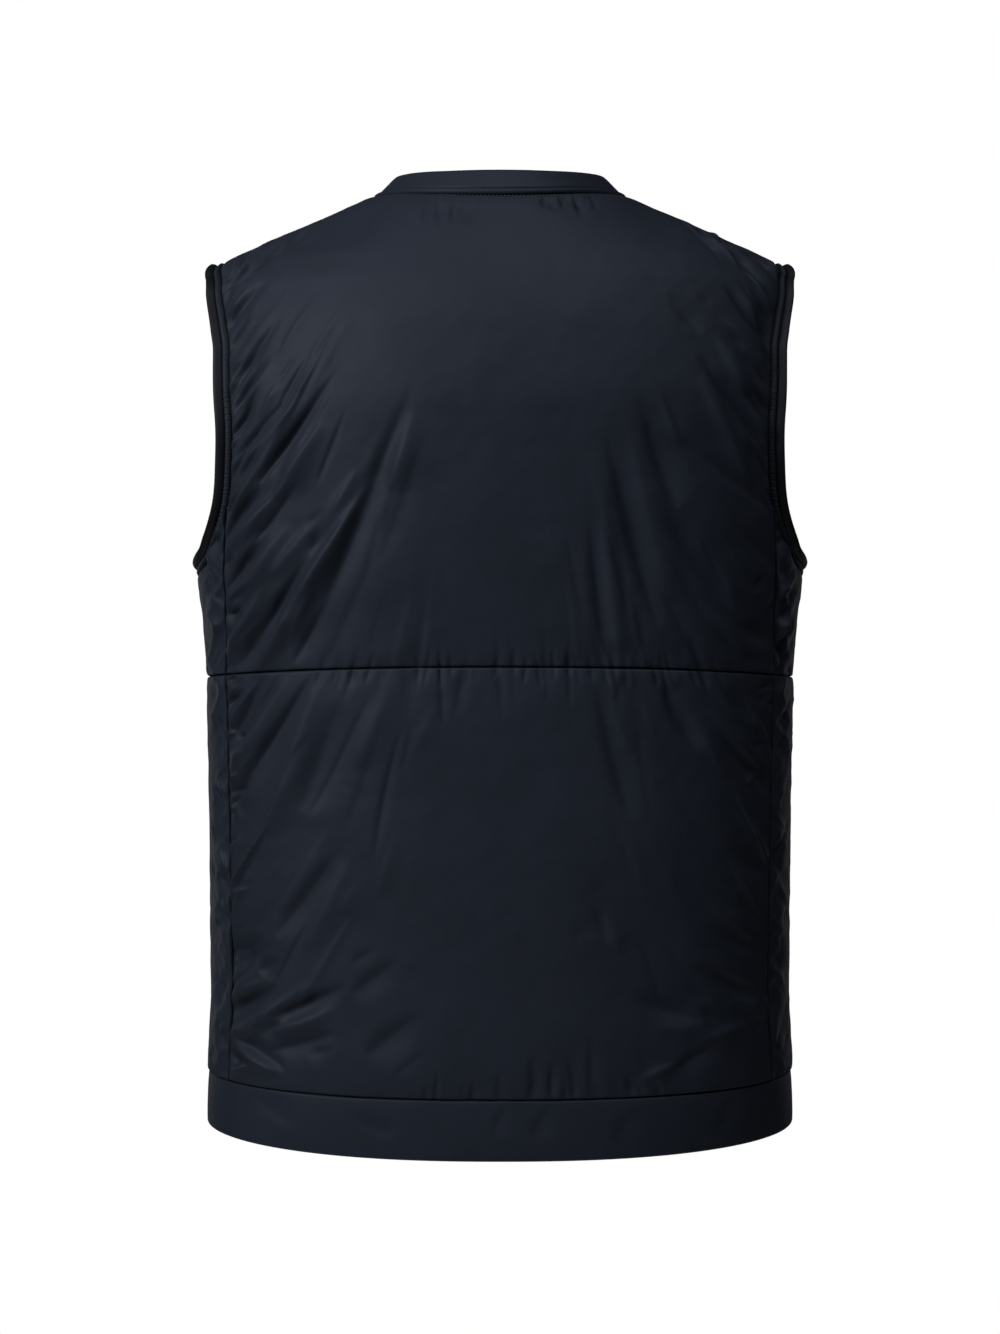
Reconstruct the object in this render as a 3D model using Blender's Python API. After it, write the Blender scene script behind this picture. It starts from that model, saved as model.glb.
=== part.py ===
"""A sleeveless, lightly padded gilet in its worn, hollow form.

Units are metres. +Z is up, the wearer faces -Y and the wearer's left is +X. The origin lies midway
between the high points of the two shoulders, so every height is given as a drop below it.

Each cloth piece is a wall: its inside lies on one smooth body form and its outside is that same
grid of points moved out along the form's normals by the padding and the folds.
"""

import math

import bmesh
import bpy
import numpy as np
from mathutils import Vector

# Drops below the high point of the shoulders
BACK_NECK_DROP = 0.0115
FRONT_NECK_DROP = 0.088
BACK_JUNCTION_DROP = 0.230
FRONT_JUNCTION_DROP = 0.236
WAIST_DROP = 0.350
WAIST_ARCH = 0.007
HEM_SEAM_DROP = 0.6375
HEM_SEAM_TAIL = 0.0025
HEM_DROP = 0.676
HEM_TAIL = 0.006

# Places of the seams on the form
SHOULDER_SEAM_BACK = 0.004
BACK_SEAM_DEPTH = 0.061
BACK_SEAM_DEPTH_HEM = 0.066
FRONT_SEAM_DEPTH = 0.054
FRONT_NECK_ROUNDNESS = 2.1
FRONT_EDGE = 0.008

# Walls
SEAM_GAP = 0.0003
SEAM_THICKNESS = 0.0026
PADDED_THICKNESS = 0.0058
PADDING_RISE = 0.013
HEM_BAND_THICKNESS = 0.0036
RIDGE_HEIGHT = 0.0042
BAND_RIM_THICKNESS = 0.0016

# Neck and armhole edges: a ridge, then a band. Their rim rises off the form by a share of their width,
# in a straight line where the turn is 1 and in a curve where it is more.
NECK_RIDGE_WIDTH = 0.0056
NECK_BAND_WIDTH = 0.0184
NECK_BAND_THICKNESS = 0.0026
NECK_RISE_MIDDLE = 0.06
NECK_RISE_SIDE = 0.41
NECK_TURN = 1.0
ARMHOLE_RIDGE_WIDTH = 0.0058
ARMHOLE_BAND_WIDTH = 0.0066
ARMHOLE_BAND_THICKNESS = 0.0034
ARMHOLE_RISE_SIDE = 0.40
ARMHOLE_RISE_BACK = 0.65
ARMHOLE_TURN = 2.0

# How many cells each stretch of a seam is divided into
SHOULDER_CELLS = 9
NECK_BACK_CELLS = 7
NECK_FRONT_CELLS = 9
SIDE_CELLS = 10
SIDE_SEAM_ROWS = 6
LOWER_ROWS = 10
ARMHOLE_BACK_ROWS = 12
ARMHOLE_FRONT_ROWS = 12
HEM_ROWS = 2

# Zip
TAPE_INNER = 0.0030
TAPE_OUTER = 0.0130
TAPE_THICKNESS = 0.0010
TAPE_GAP = 0.0010
TEETH_HALF_WIDTH = 0.0027
TEETH_THICKNESS = 0.0024
ZIP_END_ABOVE_HEM = 0.0010
SLIDER_DROP = 0.097
SLIDER_WIDTH = 0.0096
SLIDER_LENGTH = 0.0120
SLIDER_PLATE = 0.0013
SLIDER_CLEARANCE = 0.0005
WEDGE_WIDTH = 0.0036
WEDGE_LENGTH = 0.0036
BRIDGE_RADIUS = 0.0024
BRIDGE_WIRE = 0.0007
PULL_PIVOT_HEIGHT = 0.0021
PULL_WIDTH = 0.0072
PULL_LENGTH = 0.0300
PULL_THICKNESS = 0.0015
PULL_BAR = 0.0007
PULL_EYE = 0.0040
PULL_EYE_HALF_WIDTH = 0.0020

# The body form: one row per level section, a rounded oval whose back and front differ.
# A section's fullness squares its middle and its edge fullness rounds or sharpens its side ends.
SECTION_COLUMNS = ("drop", "half_width", "back_depth", "front_depth",
                   "back_fullness", "back_edge", "front_fullness", "front_edge")
SECTIONS = np.array((
    (-0.030, 0.0230, 0.060, 0.036, 2.00, 1.25, 2.00, 1.60),
    (0.000, 0.0940, 0.080, 0.044, 2.00, 1.25, 2.00, 1.80),
    (0.046, 0.2005, 0.107, 0.053, 2.00, 1.28, 2.10, 2.00),
    (0.057, 0.2220, 0.112, 0.056, 2.00, 1.34, 2.15, 2.10),
    (0.075, 0.2290, 0.120, 0.062, 2.05, 1.48, 2.15, 2.15),
    (0.110, 0.2280, 0.130, 0.081, 2.10, 1.75, 2.12, 2.12),
    (0.165, 0.2260, 0.136, 0.106, 2.20, 2.05, 2.10, 2.10),
    (0.215, 0.2225, 0.135, 0.117, 2.22, 2.15, 2.18, 2.18),
    (0.272, 0.2190, 0.132, 0.121, 2.25, 2.25, 2.25, 2.25),
    (0.310, 0.2135, 0.129, 0.119, 2.28, 2.28, 2.28, 2.28),
    (0.350, 0.2110, 0.127, 0.118, 2.30, 2.30, 2.30, 2.30),
    (0.460, 0.2088, 0.128, 0.118, 2.30, 2.30, 2.30, 2.30),
    (0.580, 0.2075, 0.130, 0.120, 2.30, 2.30, 2.30, 2.30),
    (0.640, 0.2108, 0.132, 0.122, 2.30, 2.30, 2.30, 2.30),
    (0.720, 0.2135, 0.134, 0.124, 2.30, 2.30, 2.30, 2.30),
))

# The armhole seam from shoulder tip to underarm, and how far it lies behind and before the side line.
# Columns: drop, back reach, front reach.
ARMHOLE = np.array((
    (0.0475, 0.0000, 0.0000),
    (0.0545, 0.0240, 0.0205),
    (0.067, 0.0408, 0.0302),
    (0.082, 0.0516, 0.0378),
    (0.100, 0.0619, 0.0472),
    (0.120, 0.0700, 0.0562),
    (0.165, 0.0803, 0.0695),
    (0.204, 0.0796, 0.0740),
    (0.233, 0.0748, 0.0710),
    (0.255, 0.0632, 0.0602),
    (0.2685, 0.0462, 0.0454),
    (0.2768, 0.0000, 0.0000),
))

# Folds, each a line on the back (face 1) or the front (face -1) from its upper to its lower end.
# Columns: face, upper x, upper drop, lower x, lower drop, half-width, height.
FOLDS = (
    (1, 0.122, 0.140, 0.172, 0.215, 0.013, -0.0030),
    (1, 0.066, 0.160, 0.142, 0.342, 0.015, -0.0032),
    (1, 0.104, 0.228, 0.180, 0.344, 0.013, -0.0030),
    (1, 0.095, 0.225, 0.136, 0.312, 0.012, 0.0022),
    (1, 0.128, 0.112, 0.174, 0.168, 0.012, -0.0022),
    (1, -0.134, 0.128, -0.186, 0.206, 0.013, -0.0032),
    (1, -0.143, 0.086, -0.186, 0.140, 0.012, -0.0022),
    (1, -0.090, 0.158, -0.118, 0.232, 0.014, -0.0024),
    (1, -0.066, 0.190, -0.094, 0.325, 0.015, -0.0024),
    (1, -0.120, 0.240, -0.150, 0.335, 0.016, 0.0020),
    (1, 0.155, 0.378, 0.190, 0.436, 0.013, -0.0028),
    (1, 0.158, 0.446, 0.190, 0.510, 0.012, 0.0024),
    (1, 0.126, 0.360, 0.156, 0.440, 0.014, -0.0020),
    (1, 0.088, 0.356, 0.110, 0.440, 0.016, 0.0018),
    (1, 0.112, 0.558, 0.158, 0.590, 0.013, -0.0026),
    (1, -0.170, 0.440, -0.192, 0.498, 0.012, 0.0022),
    (1, -0.158, 0.372, -0.190, 0.410, 0.012, -0.0024),
    (1, -0.063, 0.385, -0.084, 0.475, 0.018, -0.0020),
    (1, -0.154, 0.560, -0.188, 0.600, 0.013, -0.0024),
    (-1, 0.062, 0.120, 0.140, 0.250, 0.018, -0.0028),
    (-1, 0.100, 0.260, 0.165, 0.370, 0.018, -0.0026),
    (-1, 0.050, 0.330, 0.105, 0.500, 0.020, -0.0024),
    (-1, -0.060, 0.125, -0.130, 0.240, 0.018, -0.0028),
    (-1, -0.095, 0.280, -0.160, 0.400, 0.018, -0.0026),
    (-1, -0.055, 0.360, -0.110, 0.540, 0.020, -0.0024),
)

SHELL_COLOUR = (0.013, 0.016, 0.025, 1.0)
BINDING_COLOUR = (0.006, 0.007, 0.010, 1.0)
TAPE_COLOUR = (0.010, 0.012, 0.018, 1.0)
TEETH_COLOUR = (0.012, 0.013, 0.018, 1.0)
METAL_COLOUR = (0.035, 0.037, 0.042, 1.0)


# The body form

def column_slopes(drops, values):
    """Slopes at the rows of a table column that keep its curve from swinging past any row."""
    steps = np.diff(drops)
    rises = np.diff(values) / steps
    slopes = np.concatenate((rises[:1], np.zeros(len(rises) - 1), rises[-1:]))
    before, after = rises[:-1], rises[1:]
    steady = before * after > 0
    first = 2 * steps[1:] + steps[:-1]
    second = steps[1:] + 2 * steps[:-1]
    mean = (first + second)[steady] / (first[steady] / before[steady] + second[steady] / after[steady])
    slopes[1:-1][steady] = mean
    return slopes


SECTION_DROPS = SECTIONS[:, 0]
SECTION_SLOPES = np.stack([column_slopes(SECTION_DROPS, SECTIONS[:, i]) for i in range(SECTIONS.shape[1])], 1)


def section(name, drop):
    """The named column of the section table at any drop, on a smooth curve through its rows."""
    column = SECTION_COLUMNS.index(name)
    drop = np.clip(drop, SECTION_DROPS[0], SECTION_DROPS[-1])
    row = np.clip(np.searchsorted(SECTION_DROPS, drop) - 1, 0, len(SECTION_DROPS) - 2)
    step = SECTION_DROPS[row + 1] - SECTION_DROPS[row]
    t = (drop - SECTION_DROPS[row]) / step
    start, end = SECTIONS[row, column], SECTIONS[row + 1, column]
    leave, arrive = SECTION_SLOPES[row, column] * step, SECTION_SLOPES[row + 1, column] * step
    return (start * (2 * t**3 - 3 * t**2 + 1) + leave * (t**3 - 2 * t**2 + t)
            + end * (3 * t**2 - 2 * t**3) + arrive * (t**3 - t**2))


def halves(y, drop):
    """Depth, fullness and edge fullness of the section half, back or front, that each y lies in."""
    return [np.where(y > 0, section("back_" + name, drop), section("front_" + name, drop))
            for name in ("depth", "fullness", "edge")]


def form_radius(points):
    """1 on the form, less inside it and more outside it; found by a few rounds of correction."""
    x, y, drop = points[..., 0], points[..., 1], -points[..., 2]
    depth, fullness, edge = halves(y, drop)
    across, deep = np.abs(x) / section("half_width", drop), np.abs(y) / depth
    radius = np.hypot(across, deep)
    for _ in range(30):
        radius = radius * ((across / radius) ** fullness + (deep / radius) ** edge) ** 0.5
    return radius


def onto_form(points):
    """Points moved straight in or out, at their own height, until they lie on the form."""
    radius = form_radius(points)
    return points / np.stack((radius, radius, np.ones(radius.shape)), -1)


def form_normals(points):
    """Unit normals of the form, pointing away from the wearer."""
    step = 0.0002
    slopes = [form_radius(points + step * axis) - form_radius(points - step * axis) for axis in np.eye(3)]
    normals = np.stack(slopes, -1)
    return normals / np.linalg.norm(normals, axis=-1, keepdims=True)


def at_width(x, drop, face):
    """The form's point at a given x and drop, on the back (face 1) or the front (face -1)."""
    depth, fullness, edge = halves(np.full(np.shape(drop), float(face)), drop)
    share = np.clip(np.abs(x) / section("half_width", drop), 0, 1)
    return np.stack((x, face * depth * (1 - share**fullness) ** (1 / edge), -drop), -1)


def at_depth(y, drop):
    """The form's point on the wearer's left at a given y and drop."""
    depth, fullness, edge = halves(y, drop)
    share = np.clip(np.abs(y) / depth, 0, 1)
    return np.stack((section("half_width", drop) * (1 - share**edge) ** (1 / fullness), y, -drop), -1)


# Seam lines on the wearer's left half, each a row of points that every neighbour shares

def evenly(points, cells):
    """The same line divided into equal lengths."""
    lengths = np.concatenate(([0], np.cumsum(np.linalg.norm(np.diff(points, axis=0), axis=1))))
    stops = np.linspace(0, lengths[-1], cells + 1)
    return np.stack([np.interp(stops, lengths, points[:, i]) for i in range(3)], 1)


def smooth_loop(knots, steps):
    """A closed curve through the knots, each span divided into the given number of steps."""
    t = (np.arange(steps) / steps)[None, :, None]
    before, start, end, after = (np.roll(knots, shift, 0)[:, None] for shift in (1, 0, -1, -2))
    curve = start + t / 2 * (end - before + t * (2 * before - 5 * start + 4 * end - after
                                                 + t * (3 * (start - end) + after - before)))
    return curve.reshape(-1, knots.shape[1])


SPAN_STEPS = 60
drop, back_reach, front_reach = ARMHOLE.T
knots = np.stack((np.concatenate((back_reach, -front_reach[-2:0:-1])), np.concatenate((drop, drop[-2:0:-1]))), 1)
loop_depth, loop_drop = smooth_loop(knots, SPAN_STEPS).T
loop = at_depth(loop_depth, loop_drop)
underarm = (len(ARMHOLE) - 1) * SPAN_STEPS
top_stop = np.searchsorted(loop_depth[:SPAN_STEPS], SHOULDER_SEAM_BACK)
back_stop = np.searchsorted(loop_drop[:underarm], BACK_JUNCTION_DROP)
front_stop = underarm + np.searchsorted(-loop_drop[underarm:], -FRONT_JUNCTION_DROP)

ARMHOLE_BACK = evenly(loop[top_stop:back_stop + 1], ARMHOLE_BACK_ROWS)[::-1]
ARMHOLE_UNDER = evenly(loop[back_stop:front_stop + 1], SIDE_CELLS)
ARMHOLE_FRONT = evenly(np.concatenate((loop[front_stop:], loop[:top_stop + 1])), ARMHOLE_FRONT_ROWS)

shoulder_drops = np.linspace(-ARMHOLE_BACK[-1, 2], 0.0, 60)
SHOULDER = evenly(at_depth(np.full(60, SHOULDER_SEAM_BACK), shoulder_drops), SHOULDER_CELLS)
SHOULDER[0] = ARMHOLE_BACK[-1]
NECK_SIDE = SHOULDER[-1]

neck_x = NECK_SIDE[0] * np.cos(np.linspace(0, math.pi / 2, 90))
neck_share = neck_x / NECK_SIDE[0]
NECK_BACK = evenly(at_width(neck_x, BACK_NECK_DROP * (1 - neck_share**2), 1), NECK_BACK_CELLS)
NECK_BACK[0] = NECK_SIDE

front_angle = np.linspace(0, math.pi / 2, 90)
front_x = FRONT_EDGE + (NECK_SIDE[0] - FRONT_EDGE) * np.cos(front_angle) ** (2 / FRONT_NECK_ROUNDNESS)
front_drop = FRONT_NECK_DROP * np.sin(front_angle) ** (2 / FRONT_NECK_ROUNDNESS)
front_neck = at_width(front_x, front_drop, -1)
front_neck[0] = NECK_SIDE
NECK_FRONT = evenly(front_neck, NECK_FRONT_CELLS)


def level_line(drop, arch, first_y, last_y, cells):
    """A level seam line round the left half from one y to another, higher by the arch at the centre back."""
    y = np.linspace(first_y, last_y, 400)
    lift = arch * np.clip(y / section("back_depth", drop), 0, 1) ** 2
    return evenly(at_depth(y, np.full(400, drop) - lift), cells)


def back_line(drop, arch, seam_y):
    """A level line from the centre back to the back seam, ending where the side body's line starts."""
    seam = level_line(drop, arch, seam_y, 0, 1)[0]
    x = np.linspace(0, seam[0], 400)
    points = at_width(x, np.full(400, drop), 1)
    lift = arch * np.clip(points[:, 1] / section("back_depth", drop), 0, 1) ** 2
    points = at_width(x, drop - lift, 1)
    points[-1] = seam
    return evenly(points, SHOULDER_CELLS + NECK_BACK_CELLS)


def front_line(drop, seam_y):
    """A level line from the front seam to the front edge."""
    seam = level_line(drop, 0, seam_y, 0, 1)[0]
    x = np.linspace(seam[0], FRONT_EDGE, 400)
    points = at_width(x, np.full(400, drop), -1)
    points[0] = seam
    return evenly(points, SHOULDER_CELLS)


def seam_line(lower, upper, rows):
    """A seam running up the form from one point to another."""
    share = np.linspace(0, 1, 60)[:, None]
    return evenly(onto_form(lower * (1 - share) + upper * share), rows)


LEVELS = []
for row in range(LOWER_ROWS + 1):
    share = row / LOWER_ROWS
    drop = HEM_SEAM_DROP + (WAIST_DROP - HEM_SEAM_DROP) * share
    arch = -HEM_SEAM_TAIL + (WAIST_ARCH + HEM_SEAM_TAIL) * share
    back_seam = BACK_SEAM_DEPTH_HEM + (BACK_SEAM_DEPTH - BACK_SEAM_DEPTH_HEM) * share
    LEVELS.append((
        back_line(drop, arch, back_seam),
        level_line(drop, arch, back_seam, -FRONT_SEAM_DEPTH, SIDE_CELLS),
        front_line(drop, -FRONT_SEAM_DEPTH),
    ))
LOWER_BACK, LOWER_SIDE, LOWER_FRONT = (np.stack(lines) for lines in zip(*LEVELS))
WAIST_BACK, WAIST_SIDE = LOWER_BACK[-1], LOWER_SIDE[-1]
FRONT_ROWS = LOWER_ROWS + SIDE_SEAM_ROWS + ARMHOLE_FRONT_ROWS - NECK_FRONT_CELLS
edge_drops = np.linspace(HEM_SEAM_DROP, FRONT_NECK_DROP, FRONT_ROWS + 1)
FRONT_EDGE_LINE = at_width(np.full(FRONT_ROWS + 1, FRONT_EDGE), edge_drops, -1)
SEAM_BACK_UPPER = seam_line(WAIST_BACK[-1], ARMHOLE_BACK[0], SIDE_SEAM_ROWS)
SEAM_FRONT_UPPER = seam_line(WAIST_SIDE[-1], ARMHOLE_FRONT[0], SIDE_SEAM_ROWS)


# Panels

def mirrored(points):
    """The same points on the wearer's right, with their order along the last line turned round."""
    return (points * (-1, 1, 1))[..., ::-1, :]


def across_back(half):
    """A left half line, from the centre outwards, completed with its mirror image, left end first."""
    return np.concatenate((half[::-1], (half * (-1, 1, 1))[1:]))


def patch(bottom, top, first, last):
    """A four-sided grid on the form between two lines across and two lines up."""
    u = np.linspace(0, 1, len(bottom))[None, :, None]
    v = np.linspace(0, 1, len(first))[:, None, None]
    up = (1 - v) * bottom[None] + v * top[None]
    over = (1 - u) * first[:, None] + u * last[:, None]
    corners = ((1 - v) * ((1 - u) * bottom[0] + u * bottom[-1]) + v * ((1 - u) * top[0] + u * top[-1]))
    grid = onto_form(up + over - corners)
    grid[0], grid[-1], grid[:, 0], grid[:, -1] = bottom, top, first, last
    return grid


def parted(grid):
    """The grid with its border drawn in, square to the border, by half a seam gap."""
    drawn = grid.copy()
    for edge, beside in ((0, 1), (-1, -2)):
        for border, inside in ((np.s_[edge], np.s_[beside]), (np.s_[:, edge], np.s_[:, beside])):
            along = np.gradient(grid[border], axis=0)
            along = along / np.linalg.norm(along, axis=-1, keepdims=True)
            step = grid[inside] - grid[border]
            step = step - along * np.sum(step * along, -1, keepdims=True)
            drawn[border] += step * (SEAM_GAP / 2) / np.linalg.norm(step, axis=-1, keepdims=True)
    return drawn


def edge_rise(grid):
    """0 at the seams and 1 well inside a panel."""
    rise = 1.0
    for axis in (0, 1):
        steps = np.linalg.norm(np.diff(grid, axis=axis), axis=-1)
        start = np.zeros_like(np.take(steps, [0], axis))
        run = np.concatenate((start, np.cumsum(steps, axis)), axis)
        left = np.take(run, [-1], axis) - run
        rise = rise * (1 - np.exp(-run / PADDING_RISE)) * (1 - np.exp(-left / PADDING_RISE))
    return rise


def fold_height(grid):
    """The folds at each point: soft ridges and troughs along straight lines that fade out at both ends."""
    height = np.zeros(grid.shape[:2])
    for face, x_upper, drop_upper, x_lower, drop_lower, half_width, depth in FOLDS:
        run = np.array((x_lower - x_upper, drop_lower - drop_upper))
        length = np.linalg.norm(run)
        away = np.stack((grid[..., 0] - x_upper, -grid[..., 2] - drop_upper), -1)
        along = away @ run / length**2
        aside = (away[..., 0] * run[1] - away[..., 1] * run[0]) / length
        fade = np.sin(math.pi * np.clip(along, 0, 1)) ** 0.7
        height += depth * fade * np.exp(-((aside / half_width) ** 2)) * (grid[..., 1] * face > 0)
    return height


def grid_slab(columns, rows):
    """A flat slab of cells, with the column, row and layer of every vertex (layer 1 is the outside)."""
    slab = bmesh.new()
    bmesh.ops.create_grid(slab, x_segments=columns, y_segments=rows, size=0.5)
    lifted = bmesh.ops.extrude_face_region(slab, geom=slab.faces[:])["geom"]
    for vertex in lifted:
        if isinstance(vertex, bmesh.types.BMVert):
            vertex.co.z = 1.0
    places = [(round((v.co.x + 0.5) * columns), round((v.co.y + 0.5) * rows), round(v.co.z)) for v in slab.verts]
    return slab, places


def finished(name, mesh, material):
    """A mesh put into the scene as a named piece, its faces pointing outwards."""
    bmesh.ops.recalc_face_normals(mesh, faces=mesh.faces[:])
    data = bpy.data.meshes.new(name)
    mesh.to_mesh(data)
    mesh.free()
    piece = bpy.data.objects.new(name, data)
    piece.data.materials.append(material)
    PARTS.objects.link(piece)
    return piece


def wall(name, inside, outside, material, closed=False):
    """A cloth piece between two grids of points; a closed one joins its last column to its first."""
    rows, columns = inside.shape[0] - 1, inside.shape[1] - 1
    slab, places = grid_slab(columns, rows)
    if closed:
        end_column = {vertex: place[0] for vertex, place in zip(slab.verts, places)}
        ends = [f for f in slab.faces if len({end_column[v] for v in f.verts} - {0}) == 0
                or len({end_column[v] for v in f.verts} - {columns}) == 0]
    for vertex, (column, row, layer) in zip(slab.verts, places):
        vertex.co = (outside if layer else inside)[row, column]
    if closed:
        bmesh.ops.delete(slab, geom=ends, context="FACES_ONLY")
        bmesh.ops.remove_doubles(slab, verts=slab.verts[:], dist=1e-6)
    return finished(name, slab, material)


def panel(name, grid, padded_thickness=PADDED_THICKNESS):
    """A padded panel on the form, thin at its seams and folded as the tables say."""
    inside = parted(grid)
    rise = edge_rise(grid)
    thickness = SEAM_THICKNESS + rise * (padded_thickness - SEAM_THICKNESS + fold_height(grid))
    return wall(name, inside, inside + form_normals(inside) * thickness[..., None], SHELL)


def panel_pair(name, grid, padded_thickness=PADDED_THICKNESS):
    """The left panel and its right twin, which has folds of its own."""
    panel(name + "_left", grid, padded_thickness)
    panel(name + "_right", mirrored(grid), padded_thickness)


# Neck and armhole edges

def edge_frame(line, closed):
    """For each point of an edge line: the form's normal and the way across the line into the opening."""
    if closed:
        along = np.roll(line, -1, 0) - np.roll(line, 1, 0)
    else:
        along = np.gradient(line, axis=0)
        along[0, 1:] = along[-1, 1:] = 0.0
    along = along / np.linalg.norm(along, axis=1, keepdims=True)
    normal = form_normals(line)
    normal = normal - along * np.sum(normal * along, 1, keepdims=True)
    normal = normal / np.linalg.norm(normal, axis=1, keepdims=True)
    return normal, np.cross(along, normal)


def edge_rows(place, across, rise, turn, width):
    """Rows of points across an edge, rising off the form until the far side has risen by its share of the width."""
    line, normal, inward = place
    across = np.asarray(across)[:, None, None]
    lift = rise * width * (across / width) ** turn
    return line[None] + inward[None] * across + normal[None] * lift


def ridge_and_band(names, place, widths, band_thickness, rise, turn, band_cloth, closed):
    """The gathered ridge on an edge seam and the band beyond it."""
    gap = SEAM_GAP / 2
    ridge_width, width = widths[0], sum(widths)
    start = ridge_width + gap
    ridge = ((gap, SEAM_THICKNESS), (ridge_width / 2, RIDGE_HEIGHT), (ridge_width - gap, SEAM_THICKNESS))
    band = ((start, SEAM_THICKNESS), ((start + width) / 2, band_thickness), (width, BAND_RIM_THICKNESS))
    for name, profile, cloth in zip(names, (ridge, band), (SHELL, band_cloth)):
        across, heights = np.array(profile).T
        inside = edge_rows(place, across, rise, turn, width)
        outside = inside + place[1][None] * heights[:, None, None]
        if closed:
            inside = np.concatenate((inside, inside[:, :1]), 1)
            outside = np.concatenate((outside, outside[:, :1]), 1)
        wall(name, inside, outside, cloth, closed)


def armhole_edges(side):
    """Ridge and band of one armhole; side is 1 on the wearer's left and -1 on the right."""
    line = np.concatenate((ARMHOLE_BACK[:0:-1], ARMHOLE_UNDER[:-1], ARMHOLE_FRONT[:-1]))
    share = np.abs(line[:, 1:2]) / ARMHOLE[:, 1].max()
    rise = ARMHOLE_RISE_SIDE + (ARMHOLE_RISE_BACK - ARMHOLE_RISE_SIDE) * share
    place = [part * (side, 1, 1) for part in (line, *edge_frame(line, True))]
    hand = "left" if side > 0 else "right"
    names = ("armhole_ridge_" + hand, "armhole_band_" + hand)
    widths = (ARMHOLE_RIDGE_WIDTH, ARMHOLE_BAND_WIDTH)
    ridge_and_band(names, place, widths, ARMHOLE_BAND_THICKNESS, rise, ARMHOLE_TURN, BINDING, True)


def neck_edges():
    """Ridge and band of the neck, open at the front for the zip; gives the rows of its front end."""
    half = np.concatenate((NECK_FRONT[::-1], NECK_BACK[1:]))
    line = np.concatenate((half * (-1, 1, 1), half[-2::-1]))
    share = (np.abs(line[:, :1]) / NECK_SIDE[0]) ** 2
    rise = NECK_RISE_MIDDLE + (NECK_RISE_SIDE - NECK_RISE_MIDDLE) * share
    place = (line, *edge_frame(line, False))
    names, widths = ("neck_ridge", "neck_band"), (NECK_RIDGE_WIDTH, NECK_BAND_WIDTH)
    ridge_and_band(names, place, widths, NECK_BAND_THICKNESS, rise, NECK_TURN, SHELL, False)
    across = np.linspace(0, sum(widths), 6)[1:-1]
    return edge_rows([part[-1:] for part in place], across, rise[-1:], NECK_TURN, sum(widths))[:, 0]


def hem_bands():
    """The hem band: one back piece between the side lines and two fronts, all on the lower panels' columns."""
    middle = SIDE_CELLS // 2
    rows = []
    for row in range(HEM_ROWS + 1):
        share = row / HEM_ROWS
        drop = HEM_DROP + (HEM_SEAM_DROP - HEM_DROP) * share
        arch = -HEM_TAIL + (HEM_TAIL - HEM_SEAM_TAIL) * share
        side = level_line(drop, arch, BACK_SEAM_DEPTH_HEM, -FRONT_SEAM_DEPTH, SIDE_CELLS)
        back = np.concatenate((back_line(drop, arch, BACK_SEAM_DEPTH_HEM), side[1:middle + 1]))
        front = np.concatenate((side[middle:], front_line(drop, -FRONT_SEAM_DEPTH)[1:]))
        rows.append((across_back(back), front))
    backs, fronts = (np.stack(lines) for lines in zip(*rows))
    panel("hem_band_back", backs, HEM_BAND_THICKNESS)
    panel_pair("hem_band_front", fronts, HEM_BAND_THICKNESS)


# Zip

def zip_path(neck_rows):
    """Centre front line from the hem to the top of the neck band, with the outward direction at each point."""
    hem = at_width(np.array([FRONT_EDGE]), np.array([HEM_DROP - ZIP_END_ABOVE_HEM]), -1)
    points = np.concatenate((hem, FRONT_EDGE_LINE, neck_rows)) * (0, 1, 1)
    along = np.gradient(points, axis=0)
    along = along / np.linalg.norm(along, axis=1, keepdims=True)
    return points, np.cross(along, (-1.0, 0.0, 0.0))


def zip_strip(name, points, outward, first_x, last_x, low, high, material):
    """A flat strip along the zip between two x and two heights over the form."""
    width = np.array((first_x, last_x))[None, :, None] * np.array((1.0, 0.0, 0.0))
    level = points[:, None] + width
    return wall(name, level + outward[:, None] * low, level + outward[:, None] * high, material)


def box(name, size, centre, frame, collection):
    """A plain block placed in the slider's own frame."""
    mesh = bmesh.new()
    bmesh.ops.create_cube(mesh, size=1.0)
    bmesh.ops.scale(mesh, vec=size, verts=mesh.verts[:])
    bmesh.ops.translate(mesh, vec=centre, verts=mesh.verts[:])
    data = bpy.data.meshes.new(name)
    mesh.to_mesh(data)
    mesh.free()
    block = bpy.data.objects.new(name, data)
    block.parent = frame
    collection.objects.link(block)
    return block


def joined(target, helper):
    """Adds a helper shape to a piece and hides the helper."""
    helper.hide_render = True
    helper.display_type = "WIRE"
    union = target.modifiers.new(helper.name, "BOOLEAN")
    union.operation = "UNION"
    union.solver = "EXACT"
    union.object = helper


def slider_frame(points, outward):
    """An empty on the teeth at the slider, its Y axis pointing outwards and its Z axis up the zip."""
    rows = -points[::-1, 2]
    place = [np.interp(SLIDER_DROP, rows, points[::-1, i]) for i in range(3)]
    out = Vector([np.interp(SLIDER_DROP, rows, outward[::-1, i]) for i in range(3)]).normalized()
    frame = bpy.data.objects.new("zip_slider_frame", None)
    frame.location = Vector(place) - out * (TAPE_GAP + TAPE_THICKNESS / 2)
    frame.rotation_euler = (math.atan2(out.z, -out.y), 0.0, math.pi)
    CUTTERS.objects.link(frame)
    return frame, np.array(place), np.array(out)


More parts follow.
